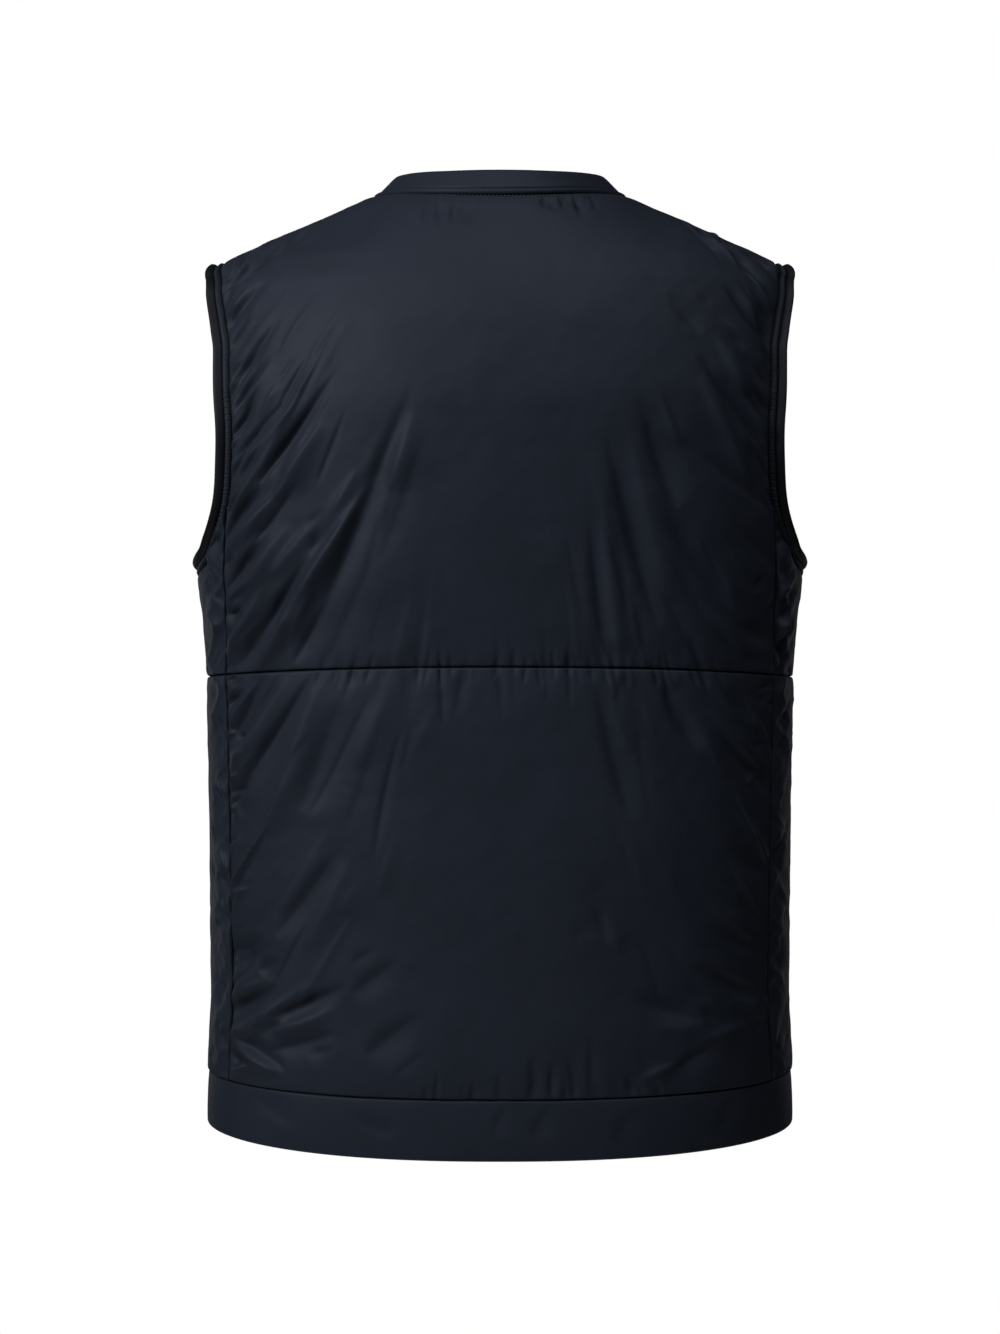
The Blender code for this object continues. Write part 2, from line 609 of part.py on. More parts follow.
def slider(frame, material):
    """Two plates joined by a wedge that parts the teeth, with a wire bridge for the pull."""
    reach = TEETH_THICKNESS / 2 + SLIDER_CLEARANCE
    plate = (SLIDER_WIDTH, SLIDER_PLATE, SLIDER_LENGTH)
    middle = reach + SLIDER_PLATE / 2
    body = box("zip_slider", plate, (0.0, middle, 0.0), frame, PARTS)
    body.data.materials.append(material)
    joined(body, box("slider_back_plate", plate, (0.0, -middle, 0.0), frame, CUTTERS))
    wedge = (WEDGE_WIDTH, 2 * middle, WEDGE_LENGTH)
    joined(body, box("slider_wedge", wedge, (0.0, 0.0, WEDGE_LENGTH), frame, CUTTERS))
    bpy.ops.mesh.primitive_torus_add(
        major_radius=BRIDGE_RADIUS, minor_radius=BRIDGE_WIRE, major_segments=20, minor_segments=8,
        rotation=(0.0, math.pi / 2, 0.0))
    bridge = bpy.context.object
    bridge.name = "slider_bridge"
    bridge.location = (0.0, reach + SLIDER_PLATE + PULL_PIVOT_HEIGHT, 0.0)
    bridge.parent = frame
    for collection in list(bridge.users_collection):
        collection.objects.unlink(bridge)
    CUTTERS.objects.link(bridge)
    joined(body, bridge)
    return bridge.location.copy()


def pull_tab(frame, pivot, material):
    """A flat tab with a rounded end, hung by the bar above its eye; its origin is the bar's middle line."""
    half = PULL_WIDTH / 2
    turn = np.linspace(0, math.pi, 9)
    end = np.stack((half * np.cos(turn), -(PULL_LENGTH - half) - half * np.sin(turn)), 1)
    outline = np.concatenate((((-half, PULL_BAR), (half, PULL_BAR)), end))
    eye = PULL_EYE_HALF_WIDTH * np.array(((-1, 0), (1, 0), (1, 0), (-1, 0)))
    eye[:, 1] = (-PULL_BAR, -PULL_BAR, -PULL_EYE, -PULL_EYE)
    curve = bpy.data.curves.new("zip_pull", "CURVE")
    curve.dimensions = "2D"
    curve.fill_mode = "BOTH"
    curve.extrude = PULL_THICKNESS / 2
    for ring in (outline, eye):
        spline = curve.splines.new("POLY")
        spline.points.add(len(ring) - 1)
        for point, (x, z) in zip(spline.points, ring):
            point.co = (x, z, 0.0, 1.0)
        spline.use_cyclic_u = True
    tab = bpy.data.objects.new("zip_pull", curve)
    tab.data.materials.append(material)
    tab.location = pivot
    tab.rotation_euler = (math.pi / 2, 0.0, 0.0)
    tab.parent = frame
    PARTS.objects.link(tab)


def zip_pieces(neck_rows):
    """Two tapes behind the front edges, the closed teeth, the slider at the top and its pull."""
    points, outward = zip_path(neck_rows)
    low, high = -TAPE_GAP - TAPE_THICKNESS, -TAPE_GAP
    zip_strip("zip_tape_left", points, outward, TAPE_INNER, TAPE_OUTER, low, high, TAPE)
    zip_strip("zip_tape_right", points, outward, -TAPE_OUTER, -TAPE_INNER, low, high, TAPE)
    frame, place, out = slider_frame(points, outward)
    middle = (low + high) / 2
    below = -points[:, 2] > SLIDER_DROP + SLIDER_LENGTH / 2
    points = np.concatenate((points[below], place[None]))
    outward = np.concatenate((outward[below], out[None]))
    teeth = (middle - TEETH_THICKNESS / 2, middle + TEETH_THICKNESS / 2)
    zip_strip("zip_teeth", points, outward, -TEETH_HALF_WIDTH, TEETH_HALF_WIDTH, *teeth, TEETH)
    pull_tab(frame, slider(frame, METAL), METAL)


def material(name, colour, roughness, metallic=0.0):
    """A plain material with one colour."""
    made = bpy.data.materials.new(name)
    made.use_nodes = True
    shader = made.node_tree.nodes["Principled BSDF"]
    shader.inputs["Base Color"].default_value = colour
    shader.inputs["Roughness"].default_value = roughness
    shader.inputs["Metallic"].default_value = metallic
    return made


def main():
    panel("back_lower", np.stack([across_back(line) for line in LOWER_BACK]))
    panel_pair("side_lower", LOWER_SIDE)
    back_side = np.concatenate((SEAM_BACK_UPPER, ARMHOLE_BACK[1:]))
    back_top = across_back(np.concatenate((NECK_BACK[::-1], SHOULDER[-2::-1])))
    panel("back_upper", patch(across_back(WAIST_BACK), back_top, back_side, back_side * (-1, 1, 1)))
    panel_pair("side_upper", patch(WAIST_SIDE, ARMHOLE_UNDER, SEAM_BACK_UPPER, SEAM_FRONT_UPPER))
    front_side = np.concatenate((LOWER_FRONT[:, 0], SEAM_FRONT_UPPER[1:], ARMHOLE_FRONT[1:]))
    front_edge = np.concatenate((FRONT_EDGE_LINE, NECK_FRONT[-2::-1]))
    panel_pair("front", patch(LOWER_FRONT[0], SHOULDER, front_side, front_edge))
    hem_bands()
    armhole_edges(1)
    armhole_edges(-1)
    zip_pieces(neck_edges())


for item in list(bpy.data.objects):
    bpy.data.objects.remove(item)
PARTS = bpy.data.collections.new("gilet")
CUTTERS = bpy.data.collections.new("cutters")
bpy.context.scene.collection.children.link(PARTS)
bpy.context.scene.collection.children.link(CUTTERS)
SHELL = material("navy_nylon_shell", SHELL_COLOUR, 0.55)
BINDING = material("elastic_armhole_binding", BINDING_COLOUR, 0.8)
TAPE = material("zip_tape_weave", TAPE_COLOUR, 0.85)
TEETH = material("nylon_zip_teeth", TEETH_COLOUR, 0.45)
METAL = material("dark_painted_metal", METAL_COLOUR, 0.4, 0.6)
main()
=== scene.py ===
"""Looks of a padded gilet: cloth with folds and gathers, sewing, zip, materials, light and camera.

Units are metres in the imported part's own frame: +Z is up, the front faces -Y and left, as worn, is +X.
The origin lies midway between the high points of the shoulders, so heights are given as drops below it.
"""

import math

import bpy
import numpy as np
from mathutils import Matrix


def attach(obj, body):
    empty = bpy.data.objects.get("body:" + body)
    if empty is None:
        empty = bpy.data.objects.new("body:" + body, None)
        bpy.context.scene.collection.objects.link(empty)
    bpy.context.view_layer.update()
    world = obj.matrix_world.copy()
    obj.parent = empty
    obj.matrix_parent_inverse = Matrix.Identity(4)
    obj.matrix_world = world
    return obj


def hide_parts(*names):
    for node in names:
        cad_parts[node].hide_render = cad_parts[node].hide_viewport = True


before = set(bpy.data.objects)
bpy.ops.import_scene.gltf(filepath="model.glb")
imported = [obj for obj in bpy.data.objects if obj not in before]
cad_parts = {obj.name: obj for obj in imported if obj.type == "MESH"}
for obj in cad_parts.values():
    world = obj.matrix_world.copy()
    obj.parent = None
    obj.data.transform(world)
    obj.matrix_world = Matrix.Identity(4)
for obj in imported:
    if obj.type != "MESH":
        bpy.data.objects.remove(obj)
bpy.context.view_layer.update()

# The two sides of the garment, and the sign of x on each
HANDS = (("left", 1), ("right", -1))

# Drops below the high point of the shoulders. At the centre back a line lies higher by its arch or lower
# by its tail. A junction is where a side seam meets the armhole.
BACK_NECK_DROP = 0.0115
FRONT_NECK_DROP = 0.088
BACK_JUNCTION_DROP = 0.230
FRONT_JUNCTION_DROP = 0.236
WAIST_DROP = 0.350
WAIST_ARCH = 0.007
HEM_SEAM_DROP = 0.6375
HEM_SEAM_TAIL = 0.0025
HEM_DROP = 0.676
HEM_TAIL = 0.006

# Places of the seams: how far the shoulder and back seams lie behind the side line and the front seam
# before it, the roundness of the front neck curve, and the front edge's distance from the middle
SHOULDER_SEAM_BACK = 0.004
BACK_SEAM_DEPTH = 0.061
BACK_SEAM_DEPTH_HEM = 0.066
FRONT_SEAM_DEPTH = 0.054
FRONT_NECK_ROUNDNESS = 2.1
FRONT_EDGE = 0.008

# Walls: the cloth dips to its seam thickness at every seam and swells to its padded thickness between them.
# The roll's share of that rise lies within a roll's length of the seam, and the rest is the padding's rise.
# Folds fade within the relief's rise of a side border, and a soft floor keeps them above the lining.
SEAM_THICKNESS = 0.0014
SIDE_SEAM_THICKNESS = 0.0028
PADDED_THICKNESS = 0.0058
HEM_BAND_THICKNESS = 0.0048
ROLL_SHARE = 0.62
SEAM_ROLL = 0.0005
ARMHOLE_ROLL = 0.0018
SHOULDER_ROLL = 0.0045
PADDING_RISE = 0.013
RELIEF_RISE = 0.0030
SOFT_FLOOR = 0.0006
LINING_DIP = 0.0025

# Lengths over which the painted shade at the bottom of a seam fades out, on the panels and the neck and on
# the armhole edges
SEAM_SHADE = 0.0005
DITCH_SHADE = 0.0018

# Neck and armhole edges: a ridge, then a band. Their rim rises off the form by a share of their width,
# in a straight line where the turn is 1 and in a curve where it is more. A roll's profile is a sine to the
# power of its roundness, and a ditch of its own height is left on either side of it.
RIDGE_HEIGHT = 0.0043
DITCH_HEIGHT = 0.0005
NECK_RIDGE_ROUNDNESS = 0.8
ARMHOLE_RIDGE_ROUNDNESS = 1.2
BINDING_ROUNDNESS = 1.0
NECK_RIDGE_WIDTH = 0.0056
NECK_BAND_WIDTH = 0.0184
NECK_BAND_THICKNESS = 0.0027
NECK_RISE_MIDDLE = 0.06
NECK_RISE_SIDE = 0.41
NECK_TURN = 1.0
ARMHOLE_RIDGE_WIDTH = 0.0056
ARMHOLE_BAND_WIDTH = 0.0053
ARMHOLE_BAND_THICKNESS = 0.0036
ARMHOLE_RISE_SIDE = 0.40
ARMHOLE_RISE_BACK = 0.65
ARMHOLE_TURN = 2.0

# A band's free edge: how sharply it is folded, its height there as a share, and the crowding of its points
BAND_FOLD_SHARPNESS = 12
BAND_EDGE_SHARE = 0.25
BAND_CROWDING = 1.3

# Gathers of the ridges: two waves laid over each other, each with its pitch, share and wander, the spacing
# of the wander and of the changes in strength, the steady and the varying share of the strength, and the
# height. They fade out up the armholes, and the neck has a share of them.
GATHER_WAVES = ((0.0024, 1.0, 3.2), (0.0041, 0.6, -2.0))
GATHER_WANDER_SPACING = 0.007
GATHER_STRENGTH_SPACING = 0.013
GATHER_STRENGTH = (0.6, 0.4)
GATHER_HEIGHT = 0.00034
GATHER_FULL_DROP = 0.14
GATHER_FAINT_DROP = 0.07
GATHER_FAINTEST = 0.15
NECK_GATHER_SHARE = 0.45

# Ripples of the bands: height and spacing
BINDING_RIPPLES = (0.00022, 0.016)
NECK_BAND_RIPPLES = (0.00018, 0.020)

# Cells of the cloth grids; the inside of a wall has one cell for each INSIDE_STEP of the outside
INSIDE_STEP = 4
NECK_BACK_CELLS = 68
SHOULDER_CELLS = 92
UPPER_SEAM_ROWS = 84
ARMHOLE_BACK_ROWS = 168
LOWER_ROWS = 220
SIDE_CELLS = 96
HEM_ROWS = 28
FRONT_CELLS = 104
FRONT_LOWER_ROWS = 152
FRONT_UPPER_ROWS = 64
FRONT_ARMHOLE_ROWS = 124
NECK_FRONT_ROWS = 108

# Cells and points of the lines and profiles, and the length of a cell along the edges
EDGE_CELL = 0.0007
ROLL_CELLS = 10
ROLL_INSIDE_POINTS = 4
BAND_CELLS = 12
BAND_INSIDE_POINTS = 5
LINE_POINTS = 1600
SPAN_STEPS = 200
NECK_END_POINTS = 12
NECK_STITCH_CELLS = 800
FRONT_ZIP_POINTS = 400
ZIP_CELLS = 420
TAPE_SIDES = 24
TOOTH_SIDES = 8
STITCH_POINTS = 5
THREAD_SIDES = 6

# Edges that turn by more degrees than this are shaded as sharp ones
SHARP_ANGLE = 58

# Rounds in which a point's radius on the form is mended, and the first guess, the step and the rounds of the
# search for the depth that a photo pixel shows
RADIUS_ROUNDS = 14
FIRST_DEPTH = 0.10
DEPTH_STEP = 0.4
DEPTH_ROUNDS = 40

# Zip
TAPE_INNER = 0.0010
TAPE_OUTER = 0.0130
TAPE_THICKNESS = 0.0010
TAPE_GAP = 0.0010
TAPE_ROUNDNESS = 0.3
ZIP_END_ABOVE_HEM = 0.0010
SLIDER_DROP = 0.097
TOOTH_PITCH = 0.0021
TOOTH_LENGTH = 0.0030
TOOTH_WIDTH = 0.0013
TOOTH_HEIGHT = 0.0024
TOOTH_ROUNDNESS = 0.6
OPEN_TEETH_SHIFT = 0.0012
PARTING_RUN = 0.004

# A tooth's sections from the middle of the zip outwards: place as a share of its length, and size
TOOTH_SECTIONS = ((-0.30, 0.72), (-0.22, 1.0), (0.42, 1.0), (0.70, 0.8))

# Sewing thread. A stitch rises and sinks by thread radii, and lies on a panel at a share of its padding.
STITCH_PITCH = 0.0028
STITCH_LENGTH = 0.0019
STITCH_RISE = 1.5
STITCH_SINK = 0.7
STITCH_END = 0.12
THREAD_RADIUS = 0.00034
NECK_STITCH_INSET = 0.0016
NECK_STITCH_LIFT = 0.33
ZIP_STITCH_INSET = 0.0055
ZIP_STITCH_LIFT = 0.62

# Rows of a front's grid that its zip stitches leave free, at the hem and at the neck
ZIP_STITCH_FREE_ROWS = (2, 4)

# The smooth form that the cloth is laid on: one row per level section, a rounded oval whose back and front
# differ. A section's fullness squares its middle, and its edge fullness rounds or sharpens its ends.
SECTION_COLUMNS = ("drop", "half_width", "back_depth", "front_depth",
                   "back_fullness", "back_edge", "front_fullness", "front_edge")
SECTIONS = np.array((
    (-0.030, 0.0230, 0.060, 0.036, 2.00, 1.25, 2.00, 1.60),
    (0.000, 0.0940, 0.080, 0.044, 2.00, 1.25, 2.00, 1.80),
    (0.046, 0.2005, 0.107, 0.053, 2.00, 1.28, 2.10, 2.00),
    (0.057, 0.2220, 0.112, 0.056, 2.00, 1.34, 2.15, 2.10),
    (0.075, 0.2290, 0.120, 0.062, 2.05, 1.48, 2.15, 2.15),
    (0.110, 0.2280, 0.130, 0.081, 2.10, 1.75, 2.12, 2.12),
    (0.165, 0.2260, 0.136, 0.106, 2.20, 2.05, 2.10, 2.10),
    (0.215, 0.2225, 0.135, 0.117, 2.22, 2.15, 2.18, 2.18),
    (0.272, 0.2190, 0.132, 0.121, 2.25, 2.25, 2.25, 2.25),
    (0.310, 0.2135, 0.129, 0.119, 2.28, 2.28, 2.28, 2.28),
    (0.350, 0.2110, 0.127, 0.118, 2.30, 2.30, 2.30, 2.30),
    (0.460, 0.2088, 0.128, 0.118, 2.30, 2.30, 2.30, 2.30),
    (0.580, 0.2075, 0.130, 0.120, 2.30, 2.30, 2.30, 2.30),
    (0.640, 0.2108, 0.132, 0.122, 2.30, 2.30, 2.30, 2.30),
    (0.720, 0.2135, 0.134, 0.124, 2.30, 2.30, 2.30, 2.30),
))

# The armhole seam from shoulder tip to underarm, and how far it lies behind and before the side line.
# Columns: drop, back reach, front reach.
ARMHOLE = np.array((
    (0.0470, 0.0000, 0.0000),
    (0.0535, 0.0235, 0.0205),
    (0.066, 0.0400, 0.0302),
    (0.082, 0.0507, 0.0378),
    (0.100, 0.0607, 0.0472),
    (0.120, 0.0687, 0.0562),
    (0.165, 0.0788, 0.0695),
    (0.204, 0.0781, 0.0740),
    (0.233, 0.0735, 0.0710),
    (0.255, 0.0622, 0.0602),
    (0.2690, 0.0456, 0.0454),
    (0.2778, 0.0000, 0.0000),
))

# Main folds of the back, read as bright and dark strokes off four enlargements of the photo.
# Each group gives the photo pixel at its enlargement's corner, the steepness of a fold of strength 1 and its
# strokes, in pixels of the enlargement. Columns of a stroke: x and row of the upper end, x and row of the
# lower end, width, strength (negative where it is dark).
PHOTO_SIZE = (1000, 1334)
ENLARGED = 3.2
LEFT_SLOPE = 1.45
RIGHT_SLOPE = 0.82
FOLD_STROKES = (
    ((210, 200), LEFT_SLOPE, (
        (228, 385, 100, 560, 14, -0.6),
        (150, 355, 72, 475, 12, -0.5),
        (165, 330, 85, 440, 12, 0.35),
        (188, 512, 82, 660, 16, -0.8),
        (200, 520, 120, 650, 22, 0.4),
        (150, 655, 85, 760, 14, -0.7),
        (262, 632, 95, 815, 16, -0.6),
        (290, 640, 115, 850, 20, 0.8),
        (388, 575, 185, 875, 18, -0.9),
        (440, 395, 285, 640, 20, 0.25),
        (352, 715, 225, 935, 30, 0.6),
        (255, 905, 72, 1112, 22, 0.9),
        (198, 795, 85, 1005, 14, 1.0),
        (243, 1050, 72, 1280, 34, 0.6),
        (185, 1075, 75, 1230, 26, -0.6),
        (345, 1015, 215, 1185, 24, 0.35),
        (410, 960, 330, 1110, 26, -0.4),
        (498, 915, 170, 1470, 30, 0.9),
        (622, 635, 385, 1240, 32, -0.4),
        (642, 680, 575, 905, 36, 0.3),
        (302, 1165, 108, 1470, 26, -0.8),
        (172, 1245, 72, 1440, 26, 0.7),
        (150, 1225, 75, 1285, 16, -0.5),
        (372, 1290, 278, 1465, 18, -0.5),
    )),
    ((570, 200), RIGHT_SLOPE, (
        (300, 320, 395, 430, 26, -0.3),
        (405, 525, 600, 805, 24, -1.2),
        (400, 590, 545, 890, 32, 0.6),
        (450, 450, 545, 620, 28, 0.5),
        (475, 450, 605, 590, 18, -0.5),
        (470, 380, 600, 530, 24, 0.4),
        (480, 290, 620, 480, 14, -1.3),
        (510, 290, 600, 430, 26, 0.5),
        (560, 300, 640, 420, 12, -1.2),
        (570, 270, 640, 360, 20, 0.5),
        (375, 800, 620, 1000, 20, -0.5),
        (500, 1030, 640, 1190, 20, -0.5),
        (205, 640, 310, 960, 36, -0.5),
        (275, 620, 330, 780, 24, 0.3),
        (175, 770, 285, 1250, 44, 0.4),
        (105, 770, 250, 1320, 38, -0.6),
        (90, 1020, 140, 1420, 28, 0.5),
        (50, 1020, 100, 1440, 30, -0.5),
        (300, 1040, 480, 1290, 26, -0.5),
        (410, 1310, 560, 1465, 22, 0.6),
        (520, 1365, 620, 1425, 30, -0.5),
    )),
    ((200, 660), LEFT_SLOPE, (
        (205, 60, 100, 265, 18, -0.8),
        (140, 60, 100, 140, 14, -0.6),
        (190, 70, 105, 195, 10, 0.5),
        (275, 65, 105, 360, 26, 0.5),
        (350, 60, 100, 480, 24, -0.8),
        (372, 80, 225, 520, 40, 0.4),
        (440, 130, 330, 450, 50, -0.2),
        (600, 80, 500, 320, 44, 0.15),
        (240, 495, 98, 780, 8, 2.2),
        (405, 550, 265, 780, 30, 0.2),
        (440, 610, 265, 855, 34, -0.3),
        (470, 640, 350, 900, 34, 0.2),
        (200, 880, 100, 950, 40, -0.5),
        (200, 940, 105, 1080, 22, 0.5),
        (240, 1040, 100, 1120, 34, -0.6),
        (330, 1040, 105, 1190, 34, 0.5),
        (460, 1040, 255, 1130, 28, -0.55),
        (280, 1160, 200, 1175, 16, -0.4),
        (420, 1110, 260, 1180, 26, 0.4),
        (430, 1190, 250, 1240, 26, -0.4),
        (110, 1195, 265, 1310, 20, -0.6),
        (120, 1240, 240, 1330, 30, 0.5),
        (105, 1250, 140, 1310, 14, -0.6),
        (620, 960, 495, 1060, 30, -0.2),
        (690, 1130, 540, 1250, 40, -0.2),
    )),
    ((570, 660), RIGHT_SLOPE, (
        (70, 90, 170, 480, 34, -0.4),
        (110, 90, 170, 290, 28, 0.3),
        (270, 70, 380, 280, 30, -0.5),
        (340, 130, 470, 360, 26, 0.4),
        (440, 185, 600, 355, 18, 0.8),
        (450, 250, 620, 430, 30, -0.6),
        (545, 110, 632, 325, 7, 2.0),
        (470, 90, 560, 200, 26, -0.4),
        (520, 440, 632, 700, 9, 2.3),
        (490, 640, 590, 810, 16, 0.6),
        (500, 610, 600, 700, 30, -0.5),
        (510, 760, 600, 860, 24, -0.5),
        (425, 780, 570, 900, 18, 0.45),
        (420, 860, 600, 960, 26, -0.5),
        (415, 960, 580, 1050, 24, 0.45),
        (390, 1000, 560, 1090, 36, -0.4),
        (535, 1085, 615, 1170, 16, 0.7),
        (260, 1180, 420, 1215, 26, 0.35),
        (560, 1155, 400, 1215, 28, 0.3),
        (190, 1100, 390, 1160, 36, -0.4),
        (340, 1280, 220, 1340, 20, 0.5),
        (450, 1220, 330, 1300, 24, -0.4),
        (105, 800, 145, 940, 26, 0.25),
        (65, 790, 110, 900, 24, -0.25),
    )),
)

# How a stroke becomes a fold: the fold's half-width as a share of the stroke's width, its shift aside as a
# share of the half-width, and how far it runs on past each end as a share of its length. Strokes narrower
# than FINE_STROKE photo pixels make more pointed folds.
STROKE_HALF_WIDTH = 1.0
STROKE_ASIDE = 0.35
STROKE_OVERRUN = 0.10
FINE_STROKE = 3.4
FINE_SHARPNESS = 1.2
BROAD_SHARPNESS = 1.8
NARROWEST_FOLD = 0.0022

# Profile of every fold: the steep flank's share of its half-width, and how late along its line it is highest
STEEP_FLANK = 0.70
FOLD_PEAK = 1.35

# Main folds of each front, bowed lines that resemble those of the back.
# Columns: upper x, upper drop, lower x, lower drop, bow, half-width, height, sharpness.
FRONT_FOLDS = (
    (0.062, 0.112, 0.150, 0.250, 0.006, 0.0110, -0.0046, 1.8),
    (0.084, 0.118, 0.158, 0.226, 0.004, 0.0080, 0.0028, 2.0),
    (0.100, 0.250, 0.176, 0.372, 0.005, 0.0105, -0.0046, 1.8),
    (0.086, 0.262, 0.140, 0.366, 0.003, 0.0085, 0.0028, 2.0),
    (0.046, 0.320, 0.108, 0.500, 0.004, 0.0130, -0.0040, 2.0),
    (0.132, 0.420, 0.186, 0.520, 0.005, 0.0075, -0.0040, 1.7),
    (0.060, 0.560, 0.120, 0.610, 0.003, 0.0090, -0.0032, 1.8),
    (0.150, 0.566, 0.190, 0.612, 0.002, 0.0060, -0.0032, 1.7),
    (-0.058, 0.118, -0.138, 0.240, -0.005, 0.0110, -0.0046, 1.8),
    (-0.090, 0.126, -0.164, 0.214, -0.004, 0.0075, 0.0026, 2.0),
    (-0.095, 0.276, -0.170, 0.408, -0.005, 0.0110, -0.0044, 1.8),
    (-0.120, 0.268, -0.184, 0.352, -0.004, 0.0075, 0.0028, 2.0),
    (-0.050, 0.350, -0.112, 0.540, -0.004, 0.0130, -0.0040, 2.0),
    (-0.140, 0.460, -0.190, 0.548, -0.004, 0.0070, -0.0036, 1.7),
    (-0.078, 0.590, -0.140, 0.566, 0.003, 0.0090, -0.0032, 1.8),
)

# Soft dents of the hem band. Same columns.
HEM_DENTS = (
    (0.176, 0.642, 0.142, 0.662, 0.000, 0.0070, -0.0009, 2.0),
    (0.104, 0.652, 0.070, 0.664, 0.001, 0.0060, -0.0009, 2.0),
    (-0.006, 0.640, 0.004, 0.664, 0.001, 0.0045, -0.0007, 2.0),
    (-0.036, 0.642, -0.022, 0.668, 0.001, 0.0055, -0.0007, 2.0),
    (-0.098, 0.644, -0.078, 0.672, 0.002, 0.0075, -0.0009, 2.0),
    (-0.164, 0.642, -0.150, 0.668, 0.001, 0.0060, -0.0008, 2.0),
)

# Long soft streaks that fan out from the centre, about a third of them raised and the rest sunk. The fan is
# their lean in radians for each metre from the centre.
# Columns: first x, last x, first drop, last drop, how many, length, half-width, height.
STREAKS = (
    (0.040, 0.110, 0.220, 0.335, 9, 0.080, 0.0060, 0.0010),
    (-0.120, -0.030, 0.200, 0.335, 9, 0.080, 0.0060, 0.0009),
    (0.110, 0.186, 0.100, 0.330, 22, 0.060, 0.0030, 0.0018),
    (-0.186, -0.140, 0.110, 0.330, 8, 0.050, 0.0034, 0.0009),
    (0.060, 0.185, 0.385, 0.590, 16, 0.080, 0.0050, 0.0014),
    (-0.185, -0.060, 0.385, 0.590, 12, 0.080, 0.0070, 0.0009),
)
STREAK_FAN = 3.8

# Short creases that end beyond an armhole seam. Columns: side (1 is the left), face (1 is the back),
# first drop, last drop, how many, length, slope in degrees, height.
ARMHOLE_CREASES = (
    (1, 1, 0.060, 0.262, 18, 0.034, 57, -0.0040),
    (1, 1, 0.066, 0.250, 12, 0.030, 58, 0.0026),
    (-1, 1, 0.066, 0.250, 12, 0.028, 56, -0.0034),
    (-1, 1, 0.080, 0.246, 8, 0.024, 58, 0.0020),
    (1, -1, 0.064, 0.240, 17, 0.030, 52, -0.0024),
    (-1, -1, 0.064, 0.240, 16, 0.030, 52, -0.0024),
)

# Fine creases that start just below the shoulder seam and run outwards and down.
# Columns: side, first share of the shoulder from the neck, last share, how many, length, slope, height.
SHOULDER_CREASES = (
    (1, 0.20, 0.94, 14, 0.050, 48, -0.0060),
    (1, 0.28, 0.92, 9, 0.044, 46, 0.0032),
    (-1, 0.22, 0.94, 11, 0.044, 48, -0.0046),
    (-1, 0.32, 0.92, 7, 0.038, 46, 0.0024),
)
SHOULDER_CREASE_START = 0.003

# Puckers across a level seam. Columns: drop at the middle, arch at the middle, first x, last x, how many,
# reach up, reach down, half-width, height.
PUCKERS = (
    (WAIST_DROP - WAIST_ARCH, WAIST_ARCH, 0.130, -0.150, 30, 0.013, 0.011, 0.0018, -0.0012),
    (WAIST_DROP - WAIST_ARCH, WAIST_ARCH, 0.110, -0.140, 15, 0.026, 0.028, 0.0030, -0.0010),
    (WAIST_DROP - WAIST_ARCH, WAIST_ARCH, -0.066, -0.132, 7, 0.018, 0.015, 0.0028, 0.0016),
    (HEM_SEAM_DROP + HEM_SEAM_TAIL, -HEM_SEAM_TAIL, 0.060, -0.110, 14, 0.018, 0.004, 0.0024, -0.0012),
    (HEM_SEAM_DROP + HEM_SEAM_TAIL, -HEM_SEAM_TAIL, -0.020, -0.110, 7, 0.034, 0.000, 0.0042, -0.0013),
    (BACK_NECK_DROP, 0.0, 0.052, 0.014, 6, 0.004, 0.018, 0.0028, -0.0028),
    (BACK_NECK_DROP, 0.0, -0.026, -0.068, 8, 0.004, 0.018, 0.0026, -0.0018),
    (BACK_NECK_DROP, 0.0, 0.070, -0.078, 26, 0.003, 0.006, 0.0014, -0.0006),
)

# Crinkles scattered over the side bodies, where across is y, and over the back and the fronts close to their
# side seams and front edges, where across is x.
# Columns: first across, last across, first drop, last drop, how many, length, half-width, height.
SIDE_CRINKLES = (
    (-0.070, 0.080, 0.240, 0.355, 40, 0.046, 0.0052, 0.0042),
    (-0.070, 0.080, 0.345, 0.640, 96, 0.046, 0.0052, 0.0042),
)
BACK_CRINKLES = (
    (0.176, 0.198, 0.240, 0.630, 64, 0.024, 0.0030, 0.0036),
    (-0.198, -0.176, 0.250, 0.630, 24, 0.024, 0.0030, 0.0016),
)
FRONT_CRINKLES = (
    (0.178, 0.200, 0.250, 0.630, 22, 0.022, 0.0030, 0.0010),
    (0.010, 0.020, 0.120, 0.630, 26, 0.014, 0.0022, 0.0007),
    (-0.200, -0.178, 0.250, 0.630, 22, 0.022, 0.0030, 0.0010),
    (-0.020, -0.010, 0.120, 0.630, 26, 0.014, 0.0022, 0.0007),
)

# How far scattered folds vary. Lengths, widths and heights are shares of those in the fold's row, unless
# they are named as sizes. A place is a share of the fold's own stretch and a bow one of its length, folds
# beside a main one lie apart by shares of its half-width, a fan is a lean for each metre, and turns are in
# degrees.
BESIDE_SCATTER = {"length": (0.35, 0.75), "place": (0.2, 0.8), "apart": (1.2, 3.4), "skew": (-0.12, 0.12),
                  "half_width": (0.45, 0.80), "height": (0.15, 0.40)}
STREAK_SCATTER = {"lean": (-0.09, 0.09), "length": (0.4, 1.3), "bow": (-0.03, 0.08),
                  "half_width": (0.5, 1.3), "height": (0.3, 1.1), "sharpness": (1.4, 2.0)}
ARMHOLE_SCATTER = {"place": (0.1, 0.9), "turn": (-9, 9), "length": (0.45, 1.7), "overrun": 0.25,
                   "bow": (-0.02, 0.09), "half_width_size": (0.0018, 0.0042), "height": (0.35, 1.3),
                   "sharpness": (1.4, 2.0)}
SHOULDER_SCATTER = {"place": (0.1, 0.9), "turn": (-8, 8), "length": (0.5, 1.5),
                    "half_width_size": (0.0018, 0.0030), "height": (0.4, 1.3), "sharpness": 1.6}
